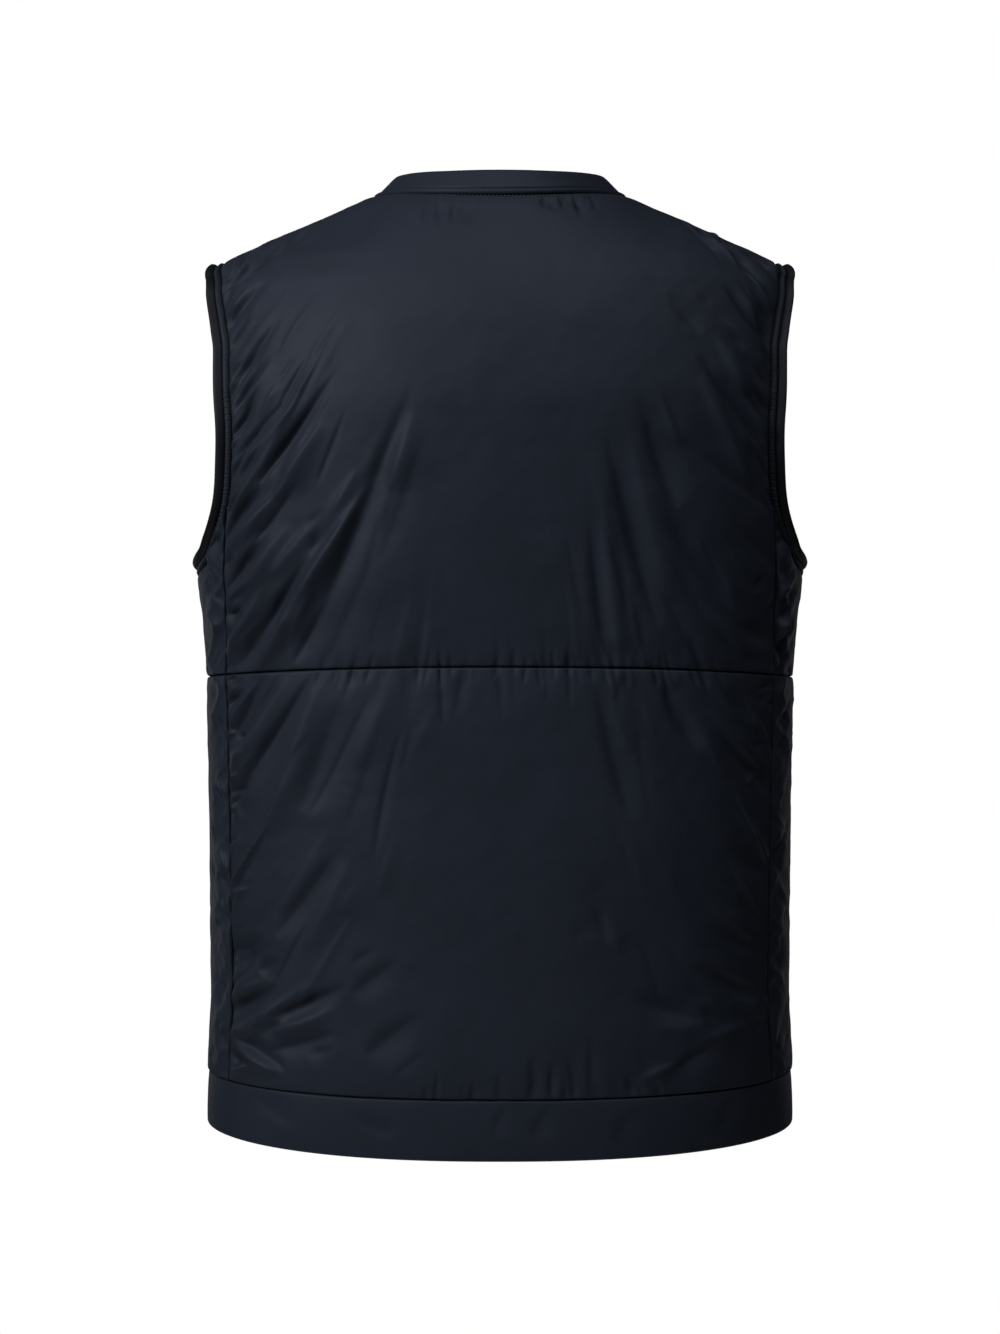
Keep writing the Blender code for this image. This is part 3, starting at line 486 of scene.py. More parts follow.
PUCKER_SCATTER = {"place": (0.05, 0.95), "length": (0.5, 1.5), "fan": 2.2, "lean": (-0.15, 0.15),
                  "half_width": (0.7, 1.4), "height": (0.3, 1.3), "sharpness": 1.8}
CRINKLE_SCATTER = {"turn": (18, 62), "length": (0.35, 1.0), "bow": (-0.2, 0.2), "half_width": (0.55, 1.3),
                   "height": (0.4, 1.2), "sharpness": (1.0, 1.5)}

# Low unevenness of all cloth: spacing and height of each of its waves, and the hem band's share of it
FINE_WAVES = ((0.030, 0.00045), (0.011, 0.00018), (0.0045, 0.00006))
HEM_WAVES_SHARE = 0.5

# Lattice of random values under all unevenness: its cells each way, and the row of it that lies at drop 0
LATTICE = 64
LATTICE_START = 2.5

# Crumpled relief of the side bodies: its height, the spacing and strength of its coarse and fine facets, how
# much they are drawn out along their slant, and the distance from a side seam over which it fades
CRUMPLE_HEIGHT = 0.0034
CRUMPLE_SIZES = ((0.022, 1.0), (0.011, 0.40))
CRUMPLE_STRETCH = 0.45
CRUMPLE_FADE = 0.018

# Seeds of all random draws. The sign of the side is added where left and right draw apart.
BACK_FOLDS_SEED = 5
FRONT_FOLDS_SEED = 60
SIDE_CRINKLES_SEED = 40
SIDE_CRUMPLE_SEED = 50
ARMHOLE_GATHERS_SEED = 80
BINDING_RIPPLES_SEED = 84
NECK_GATHERS_SEED = 90
NECK_RIPPLES_SEED = 91
WAVES_SEEDS = {"back_upper": 21, "back_lower": 31, "front_left": 61, "front_right": 71,
               "hem_band_back": 13, "hem_band_front_left": 19, "hem_band_front_right": 20}

# The photo's camera
CAMERA_DISTANCE = 1.75
CAMERA_DROP = 0.343
PICTURE_WIDTH = 0.742

# Floor and light. All lamps are white and face one point. Each has a place, a width and height, and watts.
FLOOR_DROP = 1.40
FLOOR_RADIUS = 1.00
FLOOR_MIDDLE = 0.02
FLOOR_RINGS = 12
FLOOR_SIDES = 72
LAMP_AIM = (0.0, 0.0, -0.30)
LAMPS = {
    "key": ((1.75, 1.45, 0.90), (0.9, 0.9), 78.0),
    "overhead": ((-0.40, 1.05, 1.35), (1.0, 1.0), 22.0),
    "front": ((0.20, -2.20, 0.15), (0.8, 0.8), 60.0),
    "left rim": ((1.30, -1.65, -0.40), (0.5, 1.2), 2.0),
    "right rim": ((-1.30, -1.65, -0.40), (0.5, 1.2), 1.2),
}
FILL_STRENGTH = 0.015


# The smooth form under the cloth

def column_slopes(drops, values):
    """Slopes at the rows of a table column that keep its curve from swinging past any row."""
    steps = np.diff(drops)
    rises = np.diff(values) / steps
    slopes = np.concatenate((rises[:1], np.zeros(len(rises) - 1), rises[-1:]))
    before, after = rises[:-1], rises[1:]
    steady = before * after > 0
    first = 2 * steps[1:] + steps[:-1]
    second = steps[1:] + 2 * steps[:-1]
    mean = (first + second)[steady] / (first[steady] / before[steady] + second[steady] / after[steady])
    slopes[1:-1][steady] = mean
    return slopes


SECTION_DROPS = SECTIONS[:, 0]
SECTION_SLOPES = np.stack([column_slopes(SECTION_DROPS, column) for column in SECTIONS.T], 1)


def section(name, drop):
    """The named column of the section table at any drop, on a smooth cubic through its rows."""
    column = SECTION_COLUMNS.index(name)
    drop = np.clip(drop, SECTION_DROPS[0], SECTION_DROPS[-1])
    row = np.clip(np.searchsorted(SECTION_DROPS, drop) - 1, 0, len(SECTION_DROPS) - 2)
    step = SECTION_DROPS[row + 1] - SECTION_DROPS[row]
    t = (drop - SECTION_DROPS[row]) / step
    start, end = SECTIONS[row, column], SECTIONS[row + 1, column]
    leave, arrive = SECTION_SLOPES[row, column] * step, SECTION_SLOPES[row + 1, column] * step
    return (start * (2 * t**3 - 3 * t**2 + 1) + leave * (t**3 - 2 * t**2 + t)
            + end * (3 * t**2 - 2 * t**3) + arrive * (t**3 - t**2))


def halves(y, drop):
    """Depth, fullness and edge fullness of the section half, back or front, that each y lies in."""
    return [np.where(y > 0, section("back_" + name, drop), section("front_" + name, drop))
            for name in ("depth", "fullness", "edge")]


def form_radius(points):
    """1 on the form, less inside and more outside: the scale at which (x/a)^fullness + (y/b)^edge is 1."""
    x, y, drop = points[..., 0], points[..., 1], -points[..., 2]
    depth, fullness, edge = halves(y, drop)
    across, deep = np.abs(x) / section("half_width", drop), np.abs(y) / depth
    radius = np.hypot(across, deep)
    for _ in range(RADIUS_ROUNDS):
        radius = radius * ((across / radius) ** fullness + (deep / radius) ** edge) ** 0.5
    return radius


def onto_form(points):
    """Points moved straight in or out, at their own height, until they lie on the form."""
    radius = form_radius(points)
    return points / np.stack((radius, radius, np.ones(radius.shape)), -1)


def form_normals(points):
    """Unit normals of the form: the slope of its radius along each axis, pointing outwards."""
    step = 0.0002
    slopes = [form_radius(points + step * axis) - form_radius(points - step * axis) for axis in np.eye(3)]
    return unit(np.stack(slopes, -1))


def unit(vectors):
    """The same directions with length 1."""
    return vectors / np.linalg.norm(vectors, axis=-1, keepdims=True)


def at_width(x, drop, face):
    """The form's point at a given x and drop, on the back (face 1) or the front (face -1)."""
    depth, fullness, edge = halves(np.full(np.shape(drop), float(face)), drop)
    share = np.clip(np.abs(x) / section("half_width", drop), 0, 1)
    return np.stack((x, face * depth * (1 - share**fullness) ** (1 / edge), -drop), -1)


def at_depth(y, drop):
    """The form's point on the left at a given y and drop."""
    depth, fullness, edge = halves(y, drop)
    share = np.clip(np.abs(y) / depth, 0, 1)
    return np.stack((section("half_width", drop) * (1 - share**edge) ** (1 / fullness), y, -drop), -1)


# Seam lines on the left half

def line_lengths(points):
    """Length along a line of points from its start to each point."""
    return np.concatenate(([0], np.cumsum(np.linalg.norm(np.diff(points, axis=0), axis=1))))


def evenly(points, cells):
    """The same line divided into equal lengths."""
    lengths = line_lengths(points)
    stops = np.linspace(0, lengths[-1], cells + 1)
    return np.stack([np.interp(stops, lengths, points[:, i]) for i in range(3)], 1)


def smooth_loop(knots, steps):
    """A closed curve through the knots: on each span a cubic whose ends follow the neighbouring knots."""
    t = (np.arange(steps) / steps)[None, :, None]
    before, start, end, after = (np.roll(knots, shift, 0)[:, None] for shift in (1, 0, -1, -2))
    curve = start + t / 2 * (end - before + t * (2 * before - 5 * start + 4 * end - after
                                                 + t * (3 * (start - end) + after - before)))
    return curve.reshape(-1, knots.shape[1])


reach_drop, back_reach, front_reach = ARMHOLE.T
knot_depth = np.concatenate((back_reach, -front_reach[-2:0:-1]))
knot_drop = np.concatenate((reach_drop, reach_drop[-2:0:-1]))
loop_depth, loop_drop = smooth_loop(np.stack((knot_depth, knot_drop), 1), SPAN_STEPS).T
ARMHOLE_LOOP = at_depth(loop_depth, loop_drop)
underarm = (len(ARMHOLE) - 1) * SPAN_STEPS
top_stop = np.searchsorted(loop_depth[:SPAN_STEPS], SHOULDER_SEAM_BACK)
back_stop = np.searchsorted(loop_drop[:underarm], BACK_JUNCTION_DROP)
front_stop = underarm + np.searchsorted(-loop_drop[underarm:], -FRONT_JUNCTION_DROP)

ARMHOLE_BACK = evenly(ARMHOLE_LOOP[top_stop:back_stop + 1], ARMHOLE_BACK_ROWS)[::-1]
ARMHOLE_UNDER = evenly(ARMHOLE_LOOP[back_stop:front_stop + 1], SIDE_CELLS)
front_loop = np.concatenate((ARMHOLE_LOOP[front_stop:], ARMHOLE_LOOP[:top_stop + 1]))
ARMHOLE_FRONT = evenly(front_loop, FRONT_ARMHOLE_ROWS)

shoulder_drops = np.linspace(-ARMHOLE_BACK[-1, 2], 0.0, LINE_POINTS)
SHOULDER_LINE = at_depth(np.full(LINE_POINTS, SHOULDER_SEAM_BACK), shoulder_drops)
SHOULDER_LINE[0] = ARMHOLE_BACK[-1]
NECK_SIDE = SHOULDER_LINE[-1]

neck_x = NECK_SIDE[0] * np.cos(np.linspace(0, math.pi / 2, LINE_POINTS))
NECK_BACK_LINE = at_width(neck_x, BACK_NECK_DROP * (1 - (neck_x / NECK_SIDE[0]) ** 2), 1)
NECK_BACK_LINE[0] = NECK_SIDE

front_angle = np.linspace(0, math.pi / 2, LINE_POINTS)
front_x = FRONT_EDGE + (NECK_SIDE[0] - FRONT_EDGE) * np.cos(front_angle) ** (2 / FRONT_NECK_ROUNDNESS)
front_drop = FRONT_NECK_DROP * np.sin(front_angle) ** (2 / FRONT_NECK_ROUNDNESS)
NECK_FRONT_LINE = at_width(front_x, front_drop, -1)
NECK_FRONT_LINE[0] = NECK_SIDE


def level_line(drop, arch, first_y, last_y, cells):
    """A level seam line round the left half from one y to another, higher by the arch at the centre back."""
    y = np.linspace(first_y, last_y, LINE_POINTS)
    lift = arch * np.clip(y / section("back_depth", drop), 0, 1) ** 2
    return evenly(at_depth(y, np.full(LINE_POINTS, drop) - lift), cells)


def back_line(drop, arch, seam_y, cells):
    """A level line from the centre back to the back seam, ending where the side body's line starts."""
    seam = level_line(drop, arch, seam_y, 0, 1)[0]
    x = np.linspace(0, seam[0], LINE_POINTS)
    share = at_width(x, np.full(LINE_POINTS, drop), 1)[:, 1] / section("back_depth", drop)
    points = at_width(x, drop - arch * np.clip(share, 0, 1) ** 2, 1)
    points[-1] = seam
    return evenly(points, cells)


def front_line(drop, seam_y, cells):
    """A level line from the front seam to the front edge."""
    seam = level_line(drop, 0, seam_y, 0, 1)[0]
    points = at_width(np.linspace(seam[0], FRONT_EDGE, LINE_POINTS), np.full(LINE_POINTS, drop), -1)
    points[0] = seam
    return evenly(points, cells)


def seam_line(lower, upper, rows):
    """A seam running up the form from one point to another."""
    share = np.linspace(0, 1, LINE_POINTS)[:, None]
    return evenly(onto_form(lower * (1 - share) + upper * share), rows)


# Grids of the panels: rows run up the form and columns across it

def mirrored(grid):
    """The same grid on the right, its columns in the opposite order."""
    return (grid * (-1, 1, 1))[:, ::-1]


def across_back(half):
    """A left half line, from the centre outwards, completed with its mirror image, left end first."""
    return np.concatenate((half[::-1], (half * (-1, 1, 1))[1:]))


def patch(bottom, top, first, last):
    """A four-sided grid on the form: the blend of its two lines across and the blend of its two lines up,
    less that of its corners."""
    u = np.linspace(0, 1, len(bottom))[None, :, None]
    v = np.linspace(0, 1, len(first))[:, None, None]
    up = (1 - v) * bottom[None] + v * top[None]
    over = (1 - u) * first[:, None] + u * last[:, None]
    corners = ((1 - v) * ((1 - u) * bottom[0] + u * bottom[-1]) + v * ((1 - u) * top[0] + u * top[-1]))
    grid = onto_form(up + over - corners)
    grid[0], grid[-1], grid[:, 0], grid[:, -1] = bottom, top, first, last
    return grid


def with_fine_borders(grid):
    """The same grid with the two outermost cells of every side cut in three, so that seam rolls show."""
    thirds = np.arange(6) / 3
    for axis in (0, 1):
        cells = grid.shape[axis] - 1
        stops = np.concatenate((thirds, np.arange(2, cells - 1), cells - thirds[::-1]))
        low = np.minimum(stops.astype(int), cells - 1)
        part = np.expand_dims(stops - low, (1, 2) if axis == 0 else (0, 2))
        grid = np.take(grid, low, axis) * (1 - part) + np.take(grid, low + 1, axis) * part
    return grid


def border_runs(grid):
    """Lengths along the cloth from each point to the left, right, bottom and top border."""
    runs = []
    for axis in (1, 0):
        steps = np.linalg.norm(np.diff(grid, axis=axis), axis=-1)
        run = np.concatenate((np.zeros_like(np.take(steps, [0], axis)), np.cumsum(steps, axis)), axis)
        runs += [run, np.take(run, [-1], axis) - run]
    return runs


# Relief of the cloth

def creases(table, across, drop):
    """Sum of ridges and troughs. Each follows its line bowed sideways by a parabola, has the height
    exp(-(distance / half-width)^sharpness) across it, and narrows and fades out at both ends as a sine
    that swells more slowly from the upper end.
    Beside a line that runs down, the flank where across is greater is the steeper one, as where cloth laps
    over itself."""
    relief = np.zeros(across.shape)
    for upper, upper_drop, lower, lower_drop, bow, half_width, height, sharpness in table:
        run, fall = lower - upper, lower_drop - upper_drop
        length = math.hypot(run, fall)
        share = ((across - upper) * run + (drop - upper_drop) * fall) / length**2
        near = (share > 0) & (share < 1)
        share = share[near]
        aside = ((across[near] - upper) * fall - (drop[near] - upper_drop) * run) / length
        aside = aside - 4 * bow * share * (1 - share)
        swell = np.sin(math.pi * share**FOLD_PEAK)
        flank = half_width * np.where(aside > 0, STEEP_FLANK, 2 - STEEP_FLANK) * (0.5 + 0.5 * swell)
        relief[near] += height * swell * np.exp(-np.abs(aside / flank) ** sharpness)
    return relief


def on_back(column, row):
    """The x and drop of the back's point that a photo pixel shows. A pixel covers less, the nearer the point
    is to the camera, so its depth is tried and mended until it fits."""
    depth = np.full(column.shape, FIRST_DEPTH)
    for _ in range(DEPTH_ROUNDS):
        pixel = PICTURE_WIDTH / PHOTO_SIZE[0] * (1 - depth / CAMERA_DISTANCE)
        x, drop = (PHOTO_SIZE[0] / 2 - column) * pixel, CAMERA_DROP + (row - PHOTO_SIZE[1] / 2) * pixel
        depth += DEPTH_STEP * (at_width(x, drop, 1)[:, 1] + PADDED_THICKNESS - depth)
    return x, drop


def stroked_folds():
    """Rows of the back's main folds. A bright stroke is the steep flank of a ridge and a dark one that of a
    trough, so the fold's own line lies a little beside the stroke, and it runs on past both of its ends."""
    rows = []
    pixel = PICTURE_WIDTH / PHOTO_SIZE[0]
    for (left, top), slope, strokes in FOLD_STROKES:
        x, row, last_x, last_row, width, strength = np.array(strokes).T
        run, fall, width = (last_x - x) / ENLARGED, (last_row - row) / ENLARGED, width / ENLARGED
        aside = STROKE_ASIDE * STROKE_HALF_WIDTH * width / np.hypot(run, fall)
        x, row = left + x / ENLARGED + aside * fall, top + row / ENLARGED - aside * run
        upper = on_back(x - STROKE_OVERRUN * run, row - STROKE_OVERRUN * fall)
        lower = on_back(x + (1 + STROKE_OVERRUN) * run, row + (1 + STROKE_OVERRUN) * fall)
        half_width = np.maximum(STROKE_HALF_WIDTH * width * pixel, NARROWEST_FOLD)
        height = slope * strength * width * pixel
        sharpness = np.where(width < FINE_STROKE, FINE_SHARPNESS, BROAD_SHARPNESS)
        rows += zip(*upper, *lower, np.zeros(len(width)), half_width, height, sharpness)
    return rows


def unevenness(across, drop, spacing, seed):
    """Smooth random heights from -1 to 1: random values on a square lattice, blended by a smooth step."""
    values = np.random.default_rng(seed).uniform(-1, 1, (LATTICE, LATTICE))
    column, row = across / spacing + (LATTICE + 1) / 2, drop / spacing + LATTICE_START
    i, j = np.floor(column).astype(int), np.floor(row).astype(int)
    s, t = column - i, row - j
    s, t = s * s * (3 - 2 * s), t * t * (3 - 2 * t)
    i, j, right, above = i % LATTICE, j % LATTICE, (i + 1) % LATTICE, (j + 1) % LATTICE
    low = values[i, j] * (1 - s) + values[right, j] * s
    high = values[i, above] * (1 - s) + values[right, above] * s
    return low * (1 - t) + high * t


def finer_beside(table, rng):
    """Rows of finer folds, one beside each main fold and nearly parallel to it."""
    vary = BESIDE_SCATTER
    rows = []
    for upper, upper_drop, lower, lower_drop, bow, half_width, height, sharpness in table:
        share, centre = rng.uniform(*vary["length"]), rng.uniform(*vary["place"])
        run, fall = share * (lower - upper) / 2, share * (lower_drop - upper_drop) / 2
        apart = rng.choice((-1, 1)) * rng.uniform(*vary["apart"]) * half_width / math.hypot(run, fall)
        x = upper + (lower - upper) * centre + apart * fall
        drop = upper_drop + (lower_drop - upper_drop) * centre - apart * run
        skew = rng.uniform(*vary["skew"])
        run, fall = run + skew * fall, fall - skew * run
        rows.append((x - run, drop - fall, x + run, drop + fall, bow * share,
                     max(half_width * rng.uniform(*vary["half_width"]), NARROWEST_FOLD),
                     height * rng.uniform(*vary["height"]), sharpness))
    return rows


def fanned_streaks(rng):
    """Rows of long soft ridges and troughs that lean outwards with their distance from the centre."""
    vary = STREAK_SCATTER
    rows = []
    for first_x, last_x, first, last, count, length, half_width, height in STREAKS:
        for _ in range(count):
            x, drop = rng.uniform(first_x, last_x), rng.uniform(first, last)
            lean = STREAK_FAN * x + rng.uniform(*vary["lean"])
            reach = length * rng.uniform(*vary["length"]) / 2
            run, fall = reach * math.sin(lean), reach * math.cos(lean)
            rows.append((x - run, drop - fall, x + run, drop + fall,
                         reach * rng.uniform(*vary["bow"]) * np.sign(x),
                         half_width * rng.uniform(*vary["half_width"]),
                         height * rng.choice((-1, -1, 1)) * rng.uniform(*vary["height"]),
                         rng.uniform(*vary["sharpness"])))
    return rows


def armhole_creases(face, rng):
    """Rows of short creases that start beyond an armhole seam and run up and away from it."""
    line = ARMHOLE_BACK if face > 0 else ARMHOLE_FRONT
    line = line[np.argsort(line[:, 2])]
    vary = ARMHOLE_SCATTER
    past = vary["overrun"]
    rows = []
    for side, row_face, first, last, count, length, slope, height in ARMHOLE_CREASES:
        if row_face != face:
            continue
        for place in range(count):
            drop = first + (last - first) * (place + rng.uniform(*vary["place"])) / count
            x = np.interp(-drop, line[:, 2], line[:, 0])
            angle = math.radians(slope + rng.uniform(*vary["turn"]))
            reach = length * rng.uniform(*vary["length"])
            away, rise = reach * math.cos(angle), reach * math.sin(angle)
            rows.append((side * (x - away), drop - rise, side * (x + past * away), drop + past * rise,
                         side * reach * rng.uniform(*vary["bow"]), rng.uniform(*vary["half_width_size"]),
                         height * rng.uniform(*vary["height"]), rng.uniform(*vary["sharpness"])))
    return rows


def shoulder_creases(rng):
    """Rows of fine creases that start just below a shoulder seam and run outwards and down."""
    vary = SHOULDER_SCATTER
    rows = []
    for side, first, last, count, length, slope, height in SHOULDER_CREASES:
        for place in range(count):
            share = first + (last - first) * (place + rng.uniform(*vary["place"])) / count
            x, _, z = SHOULDER_LINE[int((1 - share) * (LINE_POINTS - 1))]
            angle = math.radians(slope + rng.uniform(*vary["turn"]))
            reach = length * rng.uniform(*vary["length"])
            away, fall = reach * math.cos(angle), reach * math.sin(angle)
            drop = SHOULDER_CREASE_START - z
            rows.append((side * x, drop, side * (x + away), drop + fall, 0.0,
                         rng.uniform(*vary["half_width_size"]), height * rng.uniform(*vary["height"]),
                         vary["sharpness"]))
    return rows


def seam_puckers(rng):
    """Rows of short creases that cross a level seam and lean outwards, more so away from the centre."""
    vary = PUCKER_SCATTER
    half_waist = section("half_width", WAIST_DROP)
    rows = []
    for middle, arch, first, last, count, reach_up, reach_down, half_width, height in PUCKERS:
        for place in range(count):
            x = first + (last - first) * (place + rng.uniform(*vary["place"])) / count
            drop = middle + arch * (x / half_waist) ** 2
            up, down = reach_up * rng.uniform(*vary["length"]), reach_down * rng.uniform(*vary["length"])
            lean = x * vary["fan"] + rng.uniform(*vary["lean"])
            rows.append((x - lean * up, drop - up, x + lean * down, drop + down, 0.0,
                         half_width * rng.uniform(*vary["half_width"]),
                         height * rng.uniform(*vary["height"]), vary["sharpness"]))
    return rows


def scattered_crinkles(table, rng):
    """Rows of short ridges and troughs at scattered places, which slant down towards greater across."""
    vary = CRINKLE_SCATTER
    rows = []
    for first_across, last_across, first_drop, last_drop, count, length, half_width, height in table:
        for _ in range(count):
            across, drop = rng.uniform(first_across, last_across), rng.uniform(first_drop, last_drop)
            angle = math.radians(rng.choice((-1, 1)) * rng.uniform(*vary["turn"]))
            reach = length * rng.uniform(*vary["length"]) / 2
            run, fall = reach * math.cos(angle), abs(reach * math.sin(angle))
            rows.append((across - run, drop - fall, across + run, drop + fall,
                         reach * rng.uniform(*vary["bow"]), half_width * rng.uniform(*vary["half_width"]),
                         height * rng.choice((-1, 1)) * rng.uniform(*vary["height"]),
                         rng.uniform(*vary["sharpness"])))
    return rows


def fine_waves(across, drop, seed):
    """The low unevenness that no flat cloth is without: smooth random heights of several spacings."""
    return sum(height * unevenness(across, drop, spacing, seed + step)
               for step, (spacing, height) in enumerate(FINE_WAVES))


def crumple(across, drop, seed):
    """Crumpled cloth from about -1 to 1: the size of one smooth random height less that of another, which
    gives sharp valleys and sharp ridges where each changes its sign. The two slant opposite ways, and a
    finer pair of half the size lies over them."""
    relief = np.zeros(across.shape)
    for step, (spacing, strength) in enumerate(CRUMPLE_SIZES):
        for slant in (1, -1):
            along, aside = CRUMPLE_STRETCH * (drop + slant * across), across - slant * drop
            height = unevenness(aside, along, spacing, seed + 10 * step + slant)
            relief += slant * strength * np.abs(height)
    return relief


# Meshes

def add_piece(name, points, faces, material, uvs=None, painted_shade=None):
    """A mesh object from a flat array of points and lists of faces, smooth but for its sharp rims.
    The seam shade values, from 0 on the open cloth to 1 at the bottom of a seam, are kept for its material,
    which darkens the colour by them as painted shade."""
    mesh = bpy.data.meshes.new(name)
    mesh.from_pydata(points.reshape(-1, 3), [], faces)
    mesh.materials.append(material)
    if uvs is not None:
        corners = np.empty(len(mesh.loops), dtype=np.int32)
        mesh.loops.foreach_get("vertex_index", corners)
        layer = mesh.uv_layers.new(name="cloth_run")
        layer.uv.foreach_set("vector", uvs.reshape(-1, 2)[corners].astype(np.float32).ravel())
    if painted_shade is not None:
        layer = mesh.attributes.new("seam_painted_shade", "FLOAT", "POINT")
        layer.data.foreach_set("value", painted_shade.astype(np.float32).ravel())
    mesh.shade_smooth()
    mesh.set_sharp_from_angle(angle=math.radians(SHARP_ANGLE))
    piece = bpy.data.objects.new(name, mesh)
    bpy.context.scene.collection.objects.link(piece)
    return piece


def grid_faces(rows, columns, first=0):
    """Quads of a grid of (rows + 1) by (columns + 1) points numbered row by row from first."""
    number = first + np.arange((rows + 1) * (columns + 1)).reshape(rows + 1, columns + 1)
    return np.stack((number[:-1, :-1], number[:-1, 1:], number[1:, 1:], number[1:, :-1]), -1).reshape(-1, 4)


def rim_faces(outer, inner):
    """Faces between an outer border line and the coarser inner one, each of INSIDE_STEP outer cells and one
    inner cell."""
    cells = len(inner) - 1
    steps = np.arange(cells)[:, None] * INSIDE_STEP + np.arange(INSIDE_STEP, -1, -1)[None]
    return np.concatenate((outer[steps], inner[:-1, None], inner[1:, None]), 1)


def coarser(grid):
    """Every INSIDE_STEP-th row and column of a grid."""
    return grid[::INSIDE_STEP, ::INSIDE_STEP]


def wall(name, outside, inside, uvs, painted_shade, material):
    """A closed wall: the fine outside, a coarser inside and a rim between their borders."""
    rows, columns = outside.shape[0] - 1, outside.shape[1] - 1
    inside, inside_uvs, inside_painted_shade = coarser(inside), coarser(uvs), coarser(painted_shade)
    outer = np.arange((rows + 1) * (columns + 1)).reshape(rows + 1, columns + 1)
    inner = outer.size + np.arange(inside.shape[0] * inside.shape[1]).reshape(inside.shape[:2])
    faces = grid_faces(rows, columns).tolist()
    faces += grid_faces(inside.shape[0] - 1, inside.shape[1] - 1, outer.size)[:, ::-1].tolist()
    for line, beside in ((outer[0], inner[0]), (outer[::-1, 0], inner[::-1, 0]),
                         (outer[-1, ::-1], inner[-1, ::-1]), (outer[:, -1], inner[:, -1])):
        faces += rim_faces(line, beside).tolist()
    middle = outside[rows // 2:rows // 2 + 2, columns // 2:columns // 2 + 2]
    facing = np.cross(middle[0, 1] - middle[0, 0], middle[1, 0] - middle[0, 0])
    if facing @ form_normals(middle[0, 0]) < 0:
        faces = [face[::-1] for face in faces]
    points = np.concatenate((outside.reshape(-1, 3), inside.reshape(-1, 3)))
    uvs = np.concatenate((uvs.reshape(-1, 2), inside_uvs.reshape(-1, 2)))
    painted_shade = np.concatenate((painted_shade.ravel(), inside_painted_shade.ravel()))
    return add_piece(name, points, faces, material, uvs, painted_shade)


def tube(name, points, uvs, painted_shade, material, closed, outward):
    """A profile carried along a path: rings of points, their first index round the profile and their second
    along the path."""
    around, along = points.shape[:2]
    number = np.arange(around * along).reshape(around, along)
    ahead = np.roll(number, -1, 1) if closed else number[:, 1:]
    here = number if closed else number[:, :-1]
    faces = np.stack((here, ahead, np.roll(ahead, -1, 0), np.roll(here, -1, 0)), -1).reshape(-1, 4).tolist()
    if not closed:
        faces += [number[:, 0].tolist(), number[::-1, -1].tolist()]
    first, second = points[around // 4, along // 2], points[around // 4 + 1, along // 2]
    facing = np.cross(points[around // 4, along // 2 + 1] - first, second - first)
    if facing @ outward[along // 2] < 0:
        faces = [face[::-1] for face in faces]
    return add_piece(name, points, faces, material, uvs, painted_shade)


def cut_of(grid):
    """Width, length and area that a piece was cut to: its lengths and cells measured on the form."""
    left, _, bottom, _ = border_runs(grid)
    over, up = np.diff(grid, axis=1)[:-1], np.diff(grid, axis=0)[:, :-1]
    area = np.linalg.norm(np.cross(over, up), axis=-1).sum()
    return (float(left[:, -1].max()), float(bottom[-1].max())), float(area)


def stands_for(piece, node):
    """Puts a piece on the garment's body and hides the CAD node that it stands for."""
    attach(piece, "garment")
    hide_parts(node)


def sewn_in(piece, node, grid):
    """Puts a cloth piece on the garment's body in place of its node, and works out the size it was cut to,
    which is not used further.
    """
    stands_for(piece, node)
    flat, area = cut_of(grid)
    area = min(area, flat[0] * flat[1])


def panel(node, grid, relief, material, thickness=PADDED_THICKNESS, seam=SEAM_THICKNESS, side_roll=SEAM_ROLL,
          top_roll=SEAM_ROLL):
    """A padded panel. Its outside lies above the form by the seam thickness, the padding that swells away
    from every seam, fast at first and then slowly, and the relief, which dies away at the seams and over a
    wider stretch beside the two side borders. Its lining sags inwards between the seams, which leaves room
    for deep folds. Where a fold would still cut through it, the height levels off as log(1 + exp(h))."""
    runs = border_runs(grid)
    reaches = (side_roll, side_roll, SEAM_ROLL, top_roll)
    roll = np.prod([1 - np.exp(-run / reach) for run, reach in zip(runs, reaches)], axis=0)
    swell = np.prod([1 - np.exp(-run / PADDING_RISE) for run in runs], axis=0)
    beside = np.prod([1 - np.exp(-run / RELIEF_RISE) for run in runs[:2]], axis=0)
    padding = ROLL_SHARE * roll + (1 - ROLL_SHARE) * swell
    height = seam + (thickness - seam) * padding + roll * beside * relief
    normals, dip = form_normals(grid), LINING_DIP * swell
    lowest = SEAM_THICKNESS / 2 - dip
    height = lowest + SOFT_FLOOR * np.logaddexp(0, (height - lowest) / SOFT_FLOOR)
    outside = grid + normals * height[..., None]
    inside = grid - normals * dip[..., None]
    # Painted shade: the colour darkens towards every border of the panel, at the bottom of its seams
    painted_shade = np.exp(-np.minimum.reduce(runs) / SEAM_SHADE)
    piece = wall(node + "_cloth", outside, inside, np.stack((runs[0], runs[2]), -1), painted_shade, material)
    sewn_in(piece, node, grid)
    return piece


# Back, side and front panels

def lower_grids():
    """Grids of the back and the left side body between the hem seam and the waist seam."""
    backs, sides = [], []
    for share in np.linspace(0, 1, LOWER_ROWS + 1):
        drop = HEM_SEAM_DROP + (WAIST_DROP - HEM_SEAM_DROP) * share
        arch = -HEM_SEAM_TAIL + (WAIST_ARCH + HEM_SEAM_TAIL) * share
        seam_y = BACK_SEAM_DEPTH_HEM + (BACK_SEAM_DEPTH - BACK_SEAM_DEPTH_HEM) * share
        backs.append(across_back(back_line(drop, arch, seam_y, SHOULDER_CELLS + NECK_BACK_CELLS)))
        sides.append(level_line(drop, arch, seam_y, -FRONT_SEAM_DEPTH, SIDE_CELLS))
    return np.stack(backs), np.stack(sides)


